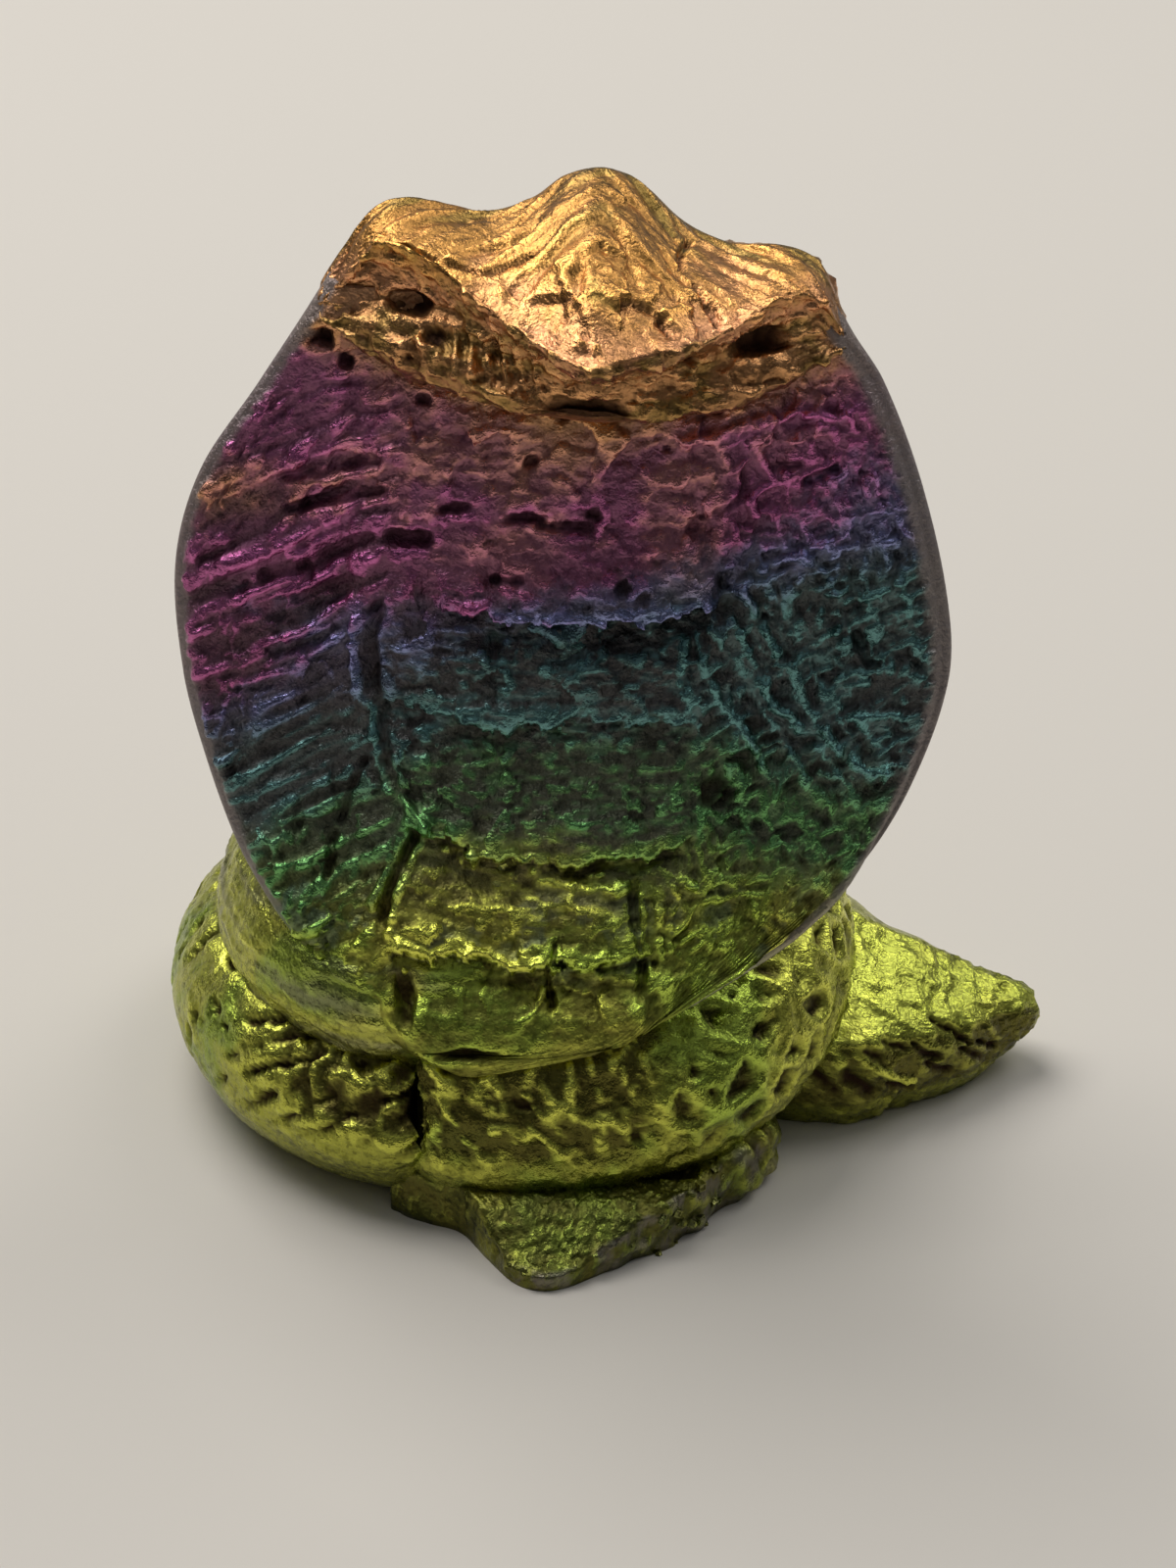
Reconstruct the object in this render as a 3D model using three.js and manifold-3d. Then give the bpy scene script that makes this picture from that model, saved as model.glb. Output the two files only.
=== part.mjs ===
// A small cobra cast in bismuth: a coiled body, a spread hood with a wedge-shaped head, and a free tail.
// The whole snake is one casting, so it is one solid. Millimetres, +Z up, the hood faces -Y.
import * as THREE from "three";
import { mergeVertices } from "three/addons/utils/BufferGeometryUtils.js";
import Module from "manifold-3d";

const wasm = await Module();
wasm.setup();

// Driving dimensions of the casting.
const HOOD_TOP = 55; // height of the hood's upper edge, inside the head
const HOOD_FOOT = 10.8; // height of the hood's lowest lip, over the front coil
const HOOD_HALF = 22; // half the hood's width where it is widest
const RIB_PITCH = 2.5; // height from one rib of the hood to the next
const RIB_HEIGHT = 0.42;
const FLANGE_DROP = 1.1; // how far the hood's wings lie behind the belly
const RIM_WIDTH = 1.5; // smooth border round the hood
const RIM_THICKNESS = 2.5;
const RIM_BEVEL = 0.9; // how far the hood's face falls back at its edge
const WINGS_END = 49; // the wings' ribs fade out above this height, under the head
const SPINE_THICKNESS = 4.2; // the hood plate at its midline
const HOOD_BOW = 1.2; // how far the hood's sides curve back
const BELLY_GROOVE = 1; // width of the groove on each side of the belly
const SCALE_LENGTH = 3.7; // one scale of the body, along it
const SCALE_HEIGHT = 0.3;
const BACK_SCALE_HEIGHT = 0.22; // scales of the hood's back
const SCALES_ROUND = 8; // scales round the body
const CORE = { x: -4.7, y: 0, across: 14.4, deep: 12.8, top: 16.5 }; // the domed filling of the coils
const NODE = "snake_carving";

// How finely the skins are divided.
const BELLY_COLUMNS = 8;
const WING_COLUMNS = 9;
const BACK_COLUMNS = 11;
const HEAD_COLUMNS = 7;

// Heights of the belly scutes' lower edges at the midline, with how far each one stands proud.
const SCUTES = [
  { z: 16.8, step: 0.9 },
  { z: 22.7, step: 0.6 },
  { z: 30, step: 0.7 },
  { z: 36.3, step: 1 },
  { z: 41.8, step: 0.45 },
  { z: 46.6, step: 0.35 },
];
const SCUTE_SAG = 0.9; // a scute's edge is this much lower in the middle than at its ends

// A smooth curve through a list of [at, value] points, level beyond its ends.
function profile(points) {
  const last = points.length - 1;
  const slopes = points.map((_, i) => {
    const [xa, ya] = points[Math.max(i - 1, 0)];
    const [xb, yb] = points[Math.min(i + 1, last)];
    return (yb - ya) / (xb - xa);
  });
  return (at) => {
    if (at <= points[0][0]) return points[0][1];
    if (at >= points[last][0]) return points[last][1];
    const i = points.findIndex(([x]) => x > at) - 1;
    const [x0, y0] = points[i];
    const [x1, y1] = points[i + 1];
    const wide = x1 - x0;
    const t = (at - x0) / wide;
    const blend = t * t * (3 - 2 * t);
    const leave = t * (1 - t) * (1 - t) * wide * slopes[i];
    const reach = t * t * (1 - t) * wide * slopes[i + 1];
    return y0 * (1 - blend) + y1 * blend + leave - reach;
  };
}

const lerp = THREE.MathUtils.lerp;
const smoothstep = THREE.MathUtils.smoothstep;

const solidFrom = (vertices, triangles) =>
  new wasm.Manifold(
    new wasm.Mesh({
      numProp: 3,
      vertProperties: new Float32Array(vertices),
      triVerts: new Uint32Array(triangles),
    }),
  );

// The two triangles of one quad, split along the diagonal that stands further out, so ridges stay whole.
function splitQuad(points, a, b, c, d) {
  const across = points[d].clone().sub(points[a]);
  const along = points[c].clone().sub(points[b]);
  const out = across.clone().cross(along);
  const middles = points[a].clone().add(points[d]).sub(points[b]).sub(points[c]);
  return middles.dot(out) > 0 ? [a, b, d, a, d, c] : [a, b, c, b, d, c];
}

// The solid inside a row of rings that all have the same number of points, closed by a fan at each end.
function skin(rings) {
  const round = rings[0].length;
  const points = rings.flat();
  const triangles = [];
  for (let i = 0; i + 1 < rings.length; i++) {
    for (let j = 0; j < round; j++) {
      const a = i * round + j;
      const b = i * round + ((j + 1) % round);
      triangles.push(...splitQuad(points, a, b, a + round, b + round));
    }
  }
  [0, rings.length - 1].forEach((ring) => {
    const middle = rings[ring].reduce((sum, p) => sum.add(p), new THREE.Vector3()).divideScalar(round);
    const hub = points.push(middle) - 1;
    for (let j = 0; j < round; j++) {
      const a = ring * round + j;
      const b = ring * round + ((j + 1) % round);
      triangles.push(...(ring ? [a, b, hub] : [b, a, hub]));
    }
  });
  return solidFrom(points.flatMap((p) => [p.x, p.y, p.z]), triangles);
}

// The solid of a three.js geometry, moved and turned by a matrix.
function solidOf(geometry, matrix = new THREE.Matrix4()) {
  const bare = geometry.clone().applyMatrix4(matrix);
  bare.deleteAttribute("normal");
  bare.deleteAttribute("uv");
  const merged = mergeVertices(bare, 1e-4);
  return solidFrom(merged.attributes.position.array, Array.from(merged.index.array));
}

const placed = (at, turn = [0, 0, 0], size = [1, 1, 1]) =>
  new THREE.Matrix4().compose(
    new THREE.Vector3(...at),
    new THREE.Quaternion().setFromEuler(new THREE.Euler(...turn)),
    new THREE.Vector3(...size),
  );

// The hood's outline, as its left and right edges at each height, and its front face seen from the side.
const hoodLeft = profile([
  [10, -8.6], [11.2, -11], [12.3, -12.9], [15.3, -16], [18.3, -18.8], [21.7, -21.3], [26.6, -23.5],
  [31, -24.8], [37.4, -25.3], [43.1, -23.8], [48.6, -20.3], [54.1, -16.9], [56, -15.8],
]);
const hoodRight = profile([
  [10.3, -8], [11, -5], [12.7, 1.4], [15.2, 7.4], [18.5, 13], [22.3, 17.2], [26.6, 19.8],
  [32.3, 21.5], [37, 21.1], [44.1, 19], [50.1, 16.3], [53.1, 14.2], [56, 12.4],
]);
const hoodFront = profile([
  [10, -19.6], [13.5, -18.8], [16, -17.4], [19, -15.3], [24, -12.4], [30, -10],
  [36, -8.4], [42, -7.2], [48, -6], [54, -4.4], [58, -3.4],
]);
const hoodMiddle = profile([[10, -6.5], [17, -3.7], [22, -2.6], [30, -3.2], [36, -3], [48, -2], [58, -1.2]]);
const bellyHalfWidth = profile([[10, 8.6], [17, 7.7], [22, 8], [30, 9.1], [36, 9.5], [48, 9.2], [58, 8.6]]);
// How the ribs slope: they fall from the belly to the left edge and rise from it to the right edge.
const slopeLeft = profile([[12, -0.4], [30, -0.56], [38, -0.56], [48, -0.16], [53, 0]]);
const slopeRight = profile([[12, 0.5], [30, 0.4], [40, 0.3], [50, 0.1], [54, 0]]);

// How far the shingled belly stands out: each scute is proudest at its lower edge.
function scuteStep(row) {
  const above = SCUTES.filter(({ z }) => z <= row).at(-1) ?? { z: HOOD_FOOT, step: 0.3 };
  const next = SCUTES.find(({ z }) => z > row) ?? { z: HOOD_TOP };
  return (above.step * (next.z - row)) / (next.z - above.z);
}

const ribWave = (row) => Math.cos((2 * Math.PI * (row - HOOD_FOOT)) / RIB_PITCH);

// Ribs cross the left wing; on the right wing they break up into a lattice of diamonds.
function wingRelief(x, row, column) {
  const rib = RIB_HEIGHT * ribWave(row);
  const diamond = column % 2 ? rib : -rib;
  return (x < 0 ? rib : diamond) * (1 - smoothstep(row, WINGS_END, WINGS_END + 3));
}

// One row of the hood, from the left edge over the front to the right edge and back behind.
function hoodRing(row) {
  const middle = hoodMiddle(row);
  const half = bellyHalfWidth(row);
  const heightAt = (x) => {
    const out = Math.abs(x - middle);
    const slope = x < middle ? slopeLeft(row) : slopeRight(row);
    const rise = SCUTE_SAG * Math.min(out / half, 1) ** 2 + slope * Math.max(out - half, 0);
    return Math.min(row + rise, HOOD_TOP);
  };
  let left = hoodLeft(row);
  let right = hoodRight(row);
  for (let pass = 0; pass < 30; pass++) {
    left = lerp(left, hoodLeft(heightAt(left)), 0.5);
    right = lerp(right, hoodRight(heightAt(right)), 0.5);
  }
  const bellyLeft = Math.max(left, middle - half);
  const bellyRight = Math.min(right, middle + half);
  const stretch = (from, to, steps) => Array.from({ length: steps }, (_, i) => lerp(from, to, i / steps));
  const across = [
    ...stretch(left, Math.max(left, bellyLeft - BELLY_GROOVE), WING_COLUMNS),
    Math.max(left, bellyLeft - BELLY_GROOVE / 2),
    ...stretch(bellyLeft, bellyRight, BELLY_COLUMNS),
    bellyRight,
    Math.min(right, bellyRight + BELLY_GROOVE / 2),
    ...stretch(right, Math.min(right, bellyRight + BELLY_GROOVE), WING_COLUMNS).reverse(),
  ];
  const depthAt = (x) => hoodFront(heightAt(x)) + HOOD_BOW * ((x - middle) / HOOD_HALF) ** 2;
  const front = across.map((x, column) => {
    const out = Math.abs(x - middle) - half;
    const toRim = Math.min(x - left, right - x);
    const bevel = RIM_BEVEL * (1 - smoothstep(toRim, 0, RIM_WIDTH)) ** 2;
    const belly = scuteStep(row);
    const drop = FLANGE_DROP * smoothstep(out, 0, 4) * (1 - smoothstep(row, WINGS_END, WINGS_END + 4));
    const wing = wingRelief(x, row, column) * smoothstep(toRim, 0.7, 2 * RIM_WIDTH) - drop;
    const inGroove = out > 0.01 && out < 0.9 * BELLY_GROOVE;
    const relief = inGroove ? -BELLY_GROOVE / 2 : out > 0.01 ? wing : belly;
    return new THREE.Vector3(x, depthAt(x) + bevel - relief, heightAt(x));
  });
  const back = Array.from({ length: BACK_COLUMNS + 1 }, (_, i) => {
    const x = lerp(right, left, i / BACK_COLUMNS);
    const share = (x - middle) / Math.max(right - middle, middle - left);
    const isRim = i === 0 || i === BACK_COLUMNS;
    const scale = isRim ? 0 : BACK_SCALE_HEIGHT * (i % 2 ? 1 : -1) * ribWave(row);
    const thick = lerp(SPINE_THICKNESS, RIM_THICKNESS, share * share) + scale;
    return new THREE.Vector3(x, depthAt(x) + thick, heightAt(x));
  });
  return [...front, ...back];
}

// The rows lie half a rib apart, with a close pair at each scute's edge for its step.
function hood() {
  const even = [];
  for (let row = HOOD_FOOT; row < HOOD_TOP; row += RIB_PITCH / 2) even.push(row);
  const clear = even.filter((row) => SCUTES.every(({ z }) => Math.abs(row - z) > 0.35));
  const steps = SCUTES.flatMap(({ z }) => [z - 0.02, z + 0.02]);
  return skin([...clear, ...steps].sort((a, b) => a - b).map(hoodRing));
}

// The head, as curves over its width: its crest, the wedge-shaped edge of its top, and the jaw's lip.
const crestHeight = profile([
  [-16.6, 54.3], [-15.6, 56], [-14.6, 57.5], [-13.6, 58.5], [-12.2, 58.8], [-9.5, 58.2], [-7.2, 57.7],
  [-4.7, 58.6], [-2.8, 60], [-0.8, 60.5], [1.2, 60], [4.3, 57.6], [7, 56.7], [9.6, 57], [11.4, 56.8],
  [12.6, 55.9], [14, 53],
]);
const wedgeFront = profile([
  [-16.6, -3.2], [-13.6, -3.6], [-10.8, -5.2], [-6.6, -9], [-4, -11.5], [-2.4, -13.1], [-0.8, -14.2],
  [1.1, -13.4], [3.9, -11.5], [6.8, -9], [9.3, -6.6], [11.4, -4.6], [14, -3.4],
]);
const wedgeHeight = profile([
  [-16.6, 53.8], [-15.2, 55.4], [-14, 57], [-12.8, 57.9], [-10.8, 57.7], [-6.6, 56], [-4, 55.3], [-0.8, 54.9],
  [3.9, 55.1], [6.8, 55.5], [9.3, 56.2], [11.2, 56.2], [12.4, 55.3], [14, 52.6],
]);
const lipFront = profile([
  [-16.6, -3.8], [-12.6, -5.6], [-9.4, -7.5], [-6.5, -8.6], [-3.4, -9.4], [-0.8, -9.7], [4.7, -8.8],
  [8, -7.4], [11, -5.6], [13.8, -3.6],
]);
const lipHeight = profile([
  [-16.6, 53], [-13.4, 51.4], [-11, 50.8], [-6.5, 50.2], [-0.8, 49.5], [4.7, 50.1], [9, 50.7],
  [13.8, 52.6],
]);
const HEAD = { left: -16.6, right: 13.8, middle: -1.4, half: 15.2, stations: 26 };
// The rucks on the head's top: their height, and the waves across it in radians per millimetre.
const RUCK = { height: 0.25, turns: 2.4 };

// One slice of the head across its width, from low at the back over the crest and the wedge to the chin.
function headRing(x) {
  const share = Math.abs(x - HEAD.middle) / HEAD.half;
  const back = 3.2 - 3.7 * share * share;
  const crest = crestHeight(x);
  const front = wedgeFront(x);
  const edge = wedgeHeight(x);
  const lip = lipFront(x);
  const low = lipHeight(x);
  const arch = lerp(1.5, 0.2, Math.min(share * 1.5, 1));
  const top = Array.from({ length: HEAD_COLUMNS + 1 }, (_, i) => {
    const t = i / HEAD_COLUMNS;
    const wave = (1 - share) * (i % 2 ? 1 : -1) * Math.cos(RUCK.turns * x);
    const ruck = i % HEAD_COLUMNS ? RUCK.height * wave : 0;
    return [lerp(back - 0.6, front, t), lerp(crest, edge, t) + arch * 4 * t * (1 - t) + ruck];
  });
  const behind = [
    [-1.2, low + 0.6],
    [lerp(back, -1, 0.5), lerp(low, crest, 0.3)],
    [back, lerp(low, crest, 0.7)],
  ];
  const hollow = 1 - share ** 3;
  const jaw = [
    [front + 0.5 * hollow, lerp(low, edge, 0.86)],
    [lerp(front, lip, 0.5) + 1.1 * hollow, lerp(low, edge, 0.6)],
    [lip, lerp(low, edge, 0.28)],
    [lip - 0.3, lerp(low, edge, 0.1)],
    [lip + 0.2, low],
    [lip + 2.4, low - 0.4],
  ];
  return [...behind, ...top, ...jaw].map(([y, z]) => new THREE.Vector3(x, y, z));
}

const EYES = [[-11.6, -5.8, 54.6], [8.9, -6.6, 53.8]];
function head() {
  const step = (HEAD.right - HEAD.left) / HEAD.stations;
  const rings = Array.from({ length: HEAD.stations + 1 }, (_, i) => headRing(HEAD.left + i * step));
  const ball = new THREE.SphereGeometry(1, 10, 8);
  const sockets = EYES.map((at) => solidOf(ball, placed(at, [0, 0, 0], [1.5, 1.2, 0.9])));
  return sockets.reduce((made, socket) => made.subtract(socket), skin(rings));
}

// The body's centre line: [x, y, z, radius, width over height], from the tail's tip up to the head.
const LOWER_COIL = [
  [30.4, 2, 3.9, 0.8, 1], [29, 1.7, 3.6, 1.7, 1], [27.2, 1.4, 3.3, 2.9, 1.1], [24.2, 0.8, 3.1, 4.3, 1.14],
  [20.4, 0.7, 3.4, 5.9, 1.28], [16.4, 1.2, 3.7, 7.4, 1.32], [12.2, 4.6, 4.9, 6.9, 1.2],
  [7.5, 9.2, 5.8, 6.2, 1],
  [2, 12.2, 6, 6.2, 1], [-5, 14.2, 6, 6.2, 1], [-13.5, 11.8, 6, 6.2, 1], [-19, 6, 6, 6.2, 1],
  [-20.4, -1, 6, 6.2, 1], [-18, -8.2, 6, 6.2, 1], [-13.2, -12.8, 6, 6.2, 1], [-9.8, -14.3, 6, 5.9, 1],
  [-8.6, -14.5, 6, 5, 1],
];
const MIDDLE_COIL = [
  [-9, -14.4, 6.1, 5.2, 1], [-7.6, -14.6, 6.2, 6.1, 1], [-3, -14.7, 6.3, 6.4, 1], [2.8, -13.4, 6.7, 6.4, 1],
  [8, -9.8, 7.7, 6.4, 1], [11.2, -3, 9.5, 6.4, 1], [10.2, 4, 11, 6.2, 1], [5.5, 9.8, 12, 6, 1],
  [-2.5, 12.2, 12.8, 5.9, 1], [-10.8, 10.4, 13, 5.8, 1], [-16.2, 5, 12.8, 5.7, 1],
];
const UPPER_COIL = [
  [-13.4, 8.6, 13, 5.4, 1], [-16.4, 4.4, 13, 5.6, 1], [-17.7, -1.5, 13, 5.5, 1],
  [-17, -6.2, 13.1, 5.5, 1], [-14, -10.4, 13.2, 5.6, 1], [-9.6, -12.2, 13.2, 5.5, 1],
  [-5.5, -9.8, 16.2, 5.3, 1], [-3.2, -6.6, 22, 5.3, 1], [-2.7, -4.4, 29, 5, 1], [-2, -2.2, 38, 4.7, 1],
  [-1.4, -0.8, 47, 4.4, 1], [-1, -0.2, 52.5, 3.9, 1], [-0.9, 0.3, 57, 2.4, 1],
];

// A stretch of the scaled body along a list of stations.
function body(stations) {
  const centre = new THREE.CatmullRomCurve3(stations.map(([x, y, z]) => new THREE.Vector3(x, y, z)));
  const girths = stations.map(([, , , radius, wide]) => new THREE.Vector3(radius, wide, 0));
  const girth = new THREE.CatmullRomCurve3(girths);
  const steps = Math.round(centre.getLength() / (SCALE_LENGTH / 2));
  const points = 2 * SCALES_ROUND;
  const rings = Array.from({ length: steps + 1 }, (_, i) => {
    const t = centre.getUtoTmapping(i / steps);
    const at = centre.getPoint(t);
    const along = centre.getTangent(t);
    const side = new THREE.Vector3(0, 0, 1).cross(along).normalize();
    const up = along.clone().cross(side).normalize();
    const { x: radius, y: wide } = girth.getPoint(t);
    return Array.from({ length: points }, (_, j) => {
      const angle = (2 * Math.PI * j) / points;
      const r = radius + SCALE_HEIGHT * Math.min(radius / 5, 1) * ((i + j) % 2 ? 1 : -1);
      return at.clone()
        .addScaledVector(side, r * wide * Math.cos(angle))
        .addScaledVector(up, r * Math.sin(angle));
    });
  });
  return skin(rings);
}

// The cast flange at the front: its outline on the ground, with a top that falls towards the point.
const FLANGE_OUTLINE = [
  [-10.8, -17], [-10.4, -18.7], [-8.6, -19.6], [-6.6, -20.4], [-4.9, -22.8], [-3.2, -25],
  [-1.6, -25.7], [0, -25.3], [1.6, -24.2], [3.1, -23.3], [4.3, -22.3], [5.6, -21.6],
  [6.8, -20.2], [8.4, -18.9], [9.6, -16.8], [11.4, -14.6], [12, -11],
  [4, -9], [-6, -9],
];
function flange() {
  const topAt = (y) => lerp(1.1, 3.5, smoothstep(y, -25.6, -20.6));
  const ring = (height) => FLANGE_OUTLINE.map(([x, y]) => new THREE.Vector3(x, y, height(y)));
  return skin([ring(() => 0), ring(topAt)]);
}

// Hopper crystals that grew on the flange's broken edge: [x, y, z, size, turn].
const CRYSTALS = [
  [5.4, -20.9, 2.2, 1.9, 0.4], [7.2, -19.4, 2.4, 2.1, 1.1], [8.8, -17.6, 2.6, 2.4, 0.2],
  [10.2, -15.6, 2.7, 2.2, 0.8], [11.2, -13.3, 2.8, 2.4, 0.5], [9.4, -15.6, 4, 1.8, 1.3],
  [7.6, -18, 3.6, 1.5, 0.7], [2.6, -23, 1.3, 1.5, 0.9],
];
const crystals = () => CRYSTALS.map(([x, y, z, size, turn]) =>
  solidOf(new THREE.BoxGeometry(size, size, size), placed([x, y, z], [0.5 * turn, 0.3, turn])));

const core = () => solidOf(
  new THREE.SphereGeometry(1, 28, 16),
  placed([CORE.x, CORE.y, 0], [0, 0, 0], [CORE.across, CORE.deep, CORE.top]),
);

// Everything under the table top is cut off, which leaves the flat face that the carving rests on.
const ground = () => solidOf(new THREE.BoxGeometry(90, 90, 20), placed([0, 0, -10]));

const coils = () => [LOWER_COIL, MIDDLE_COIL, UPPER_COIL].map(body);

const casting = [head(), ...coils(), flange(), core(), ...crystals()]
  .reduce((made, piece) => made.add(piece), hood())
  .subtract(ground());

// The casting is solid, so only its outer skin is kept and the gaps sealed between the coils are filled.
function geometryOf(solid) {
  const [outer] = solid.decompose().sort((a, b) => b.volume() - a.volume());
  const { vertProperties, triVerts } = outer.getMesh();
  const geometry = new THREE.BufferGeometry();
  geometry.setAttribute("position", new THREE.BufferAttribute(vertProperties, 3));
  geometry.setIndex(new THREE.BufferAttribute(triVerts, 1));
  geometry.computeVertexNormals();
  return geometry;
}

// The frame's origin is the middle of the casting's footprint, on the table top.
const geometry = geometryOf(casting);
geometry.computeBoundingBox();
const { min, max } = geometry.boundingBox;
const oxide = new THREE.MeshStandardMaterial({ color: 0x7f8a2a, metalness: 0.9, roughness: 0.4 });
const carving = new THREE.Mesh(geometry, oxide);
carving.name = NODE;
carving.position.set(-(min.x + max.x) / 2, -(min.y + max.y) / 2, -min.z);

const group = new THREE.Group();
group.add(carving);

export default group;
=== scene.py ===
"""A small cobra cast in bismuth, with its coloured oxide skin, on a pale table.

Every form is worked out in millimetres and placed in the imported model's frame in metres.
"""

import math

import bmesh
import bpy
import numpy as np
from bpy.props import FloatProperty, FloatVectorProperty, IntProperty, PointerProperty
from mathutils import Matrix, Vector


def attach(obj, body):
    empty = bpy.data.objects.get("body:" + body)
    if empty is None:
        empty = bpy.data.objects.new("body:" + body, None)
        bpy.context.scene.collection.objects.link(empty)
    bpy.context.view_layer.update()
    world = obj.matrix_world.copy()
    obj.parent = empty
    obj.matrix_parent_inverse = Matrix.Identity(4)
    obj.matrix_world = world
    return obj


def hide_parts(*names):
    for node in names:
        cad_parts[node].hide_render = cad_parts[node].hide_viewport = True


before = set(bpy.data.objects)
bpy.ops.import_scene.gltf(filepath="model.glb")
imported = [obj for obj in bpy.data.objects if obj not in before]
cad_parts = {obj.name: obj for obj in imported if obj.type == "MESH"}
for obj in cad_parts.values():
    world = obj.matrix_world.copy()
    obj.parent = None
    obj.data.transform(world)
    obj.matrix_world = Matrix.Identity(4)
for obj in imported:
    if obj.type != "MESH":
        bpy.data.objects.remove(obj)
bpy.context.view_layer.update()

bl_info = {
    "name": "Bismuth cobra",
    "version": (1, 0, 0),
    "blender": (4, 5, 0),
    "location": "3D View > Sidebar > Cobra",
    "description": "Builds a cast cobra with a ribbed hood and an oxide skin",
    "category": "Add Mesh",
}

NODE = "snake_carving"
BODY = "root"

MM = 0.001
MIDDLE = np.array([1.9229, -2.5584, 0.0])  # the footprint's middle, in the millimetres used below

# The hood.
HOOD_TOP = 55.0
HOOD_FOOT = 10.8
HOOD_HALF = 22.0
HOOD_BOW = 1.2
RIM_WIDTH = 1.5
RIM_BEVEL = 0.9
RIM_THICKNESS = 2.5
RIM_ROUND = 0.5
SPINE_THICKNESS = 4.2
WING_DROP = 1.1  # how far the wings lie behind the belly
WINGS_END = 49  # the height at which the wings run out into the head
SAG_END = 46  # the height above which the scutes straighten
SCUTE_SAG = 0.9
EDGE_ROUNDS = 30  # how often the hood's edges are corrected, until they meet its outline
MERGE_DEPTH = 2.4  # how far the hood's lower left edge sinks into the upper loop
# The belly's scutes: height of the lower edge, how far it stands out, and where its left end lies.
SCUTES = [
    (16.8, 0.95, -20), (22.7, 0.75, -20), (30, 0.5, -20),
    (36.3, 1.5, -8.6), (41.8, 0.15, -20), (46.6, 0.1, -20),
]

# How finely the skins are divided: pitches in millimetres, counts of points, rows and steps, and blurs.
FRONT_PITCH = 0.19
BACK_PITCH = 0.42
COIL_PITCH = 0.26
EDGE_POINTS = 7
COIL_POINTS = 148
CORE_POINTS = 180
CORE_ROWS = 60
CURVE_STEPS = 24
FLANGE_STEPS = 14
CAVITY_BLUR = 16
BEND_BLUR = 160


def lerp(low, high, share):
    return low + (high - low) * share


def ease(value, low, high):
    """0 below low and 1 above high, with a smooth rise between."""
    t = np.clip((value - low) / (high - low), 0, 1)
    return t * t * (3 - 2 * t)


def profile(points):
    """A smooth curve through a list of (at, value) points, level beyond its ends."""
    at, value = np.array(points, float).T
    before = np.r_[0, np.arange(len(at) - 1)]
    after = np.r_[np.arange(1, len(at)), len(at) - 1]
    slope = (value[after] - value[before]) / (at[after] - at[before])

    def curve(where):
        where = np.clip(where, at[0], at[-1])
        i = np.clip(np.searchsorted(at, where, side="right") - 1, 0, len(at) - 2)
        wide = at[i + 1] - at[i]
        t = (where - at[i]) / wide
        blend = t * t * (3 - 2 * t)
        leave = t * (1 - t) ** 2 * wide * slope[i]
        reach = t * t * (1 - t) * wide * slope[i + 1]
        return value[i] * (1 - blend) + value[i + 1] * blend + leave - reach

    return curve


# The hood's outline, as its left and right edges at each height, and its front face seen from the side.
hood_left = profile([
    (10, -8.6), (11.2, -11), (12.3, -12.9), (15.3, -16), (18.3, -18.8), (21.7, -21.3), (26.6, -23.5),
    (31, -24.8), (37.4, -25.3), (43.1, -23.8), (48.6, -20.3), (54.1, -16.9), (56, -15.8),
])
hood_right = profile([
    (10.3, -8), (11, -5), (12.7, 1.4), (15.2, 7.4), (18.5, 13), (22.3, 17.2), (26.6, 19.8),
    (32.3, 21.5), (37, 21.1), (44.1, 19), (50.1, 16.3), (53.1, 14.2), (56, 12.4),
])
hood_front = profile([
    (10, -19.6), (13.5, -18.8), (16, -17.4), (19, -15.3), (24, -12.4), (30, -10),
    (36, -8.4), (42, -7.2), (48, -6), (54, -4.4), (58, -3.4),
])
hood_middle = profile([(10, -6.5), (17, -3.7), (22, -2.6), (30, -3.2), (36, -3), (48, -2), (58, -1.2)])
belly_half = profile([(10, 8.6), (17, 7.7), (22, 8), (30, 9.1), (36, 9.5), (48, 9.2), (58, 8.6)])
slope_left = profile([(12, -0.4), (30, -0.56), (38, -0.56), (48, -0.16), (53, 0)])
slope_right = profile([(12, 0.5), (30, 0.4), (40, 0.3), (50, 0.1), (54, 0)])

# The head, as curves over its width: its crest, the wedge-shaped edge of its top, and the jaw's lip.
crest_height = profile([
    (-16.6, 54.3), (-15.6, 56), (-14.6, 57.5), (-13.6, 58.5), (-12.2, 58.8), (-9.5, 58.2), (-7.2, 57.7),
    (-4.7, 58.6), (-2.8, 60), (-0.8, 60.5), (1.2, 60), (4.3, 57.6), (7, 56.7), (9.6, 57), (11.4, 56.8),
    (12.6, 55.9), (14, 53),
])
wedge_front = profile([
    (-16.6, -3.2), (-13.6, -3.6), (-10.8, -5.2), (-6.6, -9), (-4, -11.5), (-2.4, -13.1), (-0.8, -14.2),
    (1.1, -13.4), (3.9, -11.5), (6.8, -9), (9.3, -6.6), (11.4, -4.6), (14, -3.4),
])
wedge_height = profile([
    (-16.6, 53.8), (-15.2, 55.4), (-14, 57), (-12.8, 57.9), (-10.8, 57.7), (-6.6, 56), (-4, 55.3),
    (-0.8, 54.9), (3.9, 55.1), (6.8, 55.5), (9.3, 56.2), (11.2, 56.2), (12.4, 55.3), (14, 52.6),
])
lip_front = profile([
    (-16.6, -3.8), (-12.6, -5.6), (-9.4, -7.5), (-6.5, -8.6), (-3.4, -9.4), (-0.8, -9.7), (4.7, -8.8),
    (8, -7.4), (11, -5.6), (13.8, -3.6),
])
lip_height = profile([
    (-16.6, 53), (-13.4, 51.4), (-11, 50.8), (-6.5, 50.2), (-0.8, 49.5), (4.7, 50.1), (9, 50.7), (13.8, 52.6),
])
HEAD = {"left": -16.6, "right": 13.8, "middle": -1.4, "half": 15.2}

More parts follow.
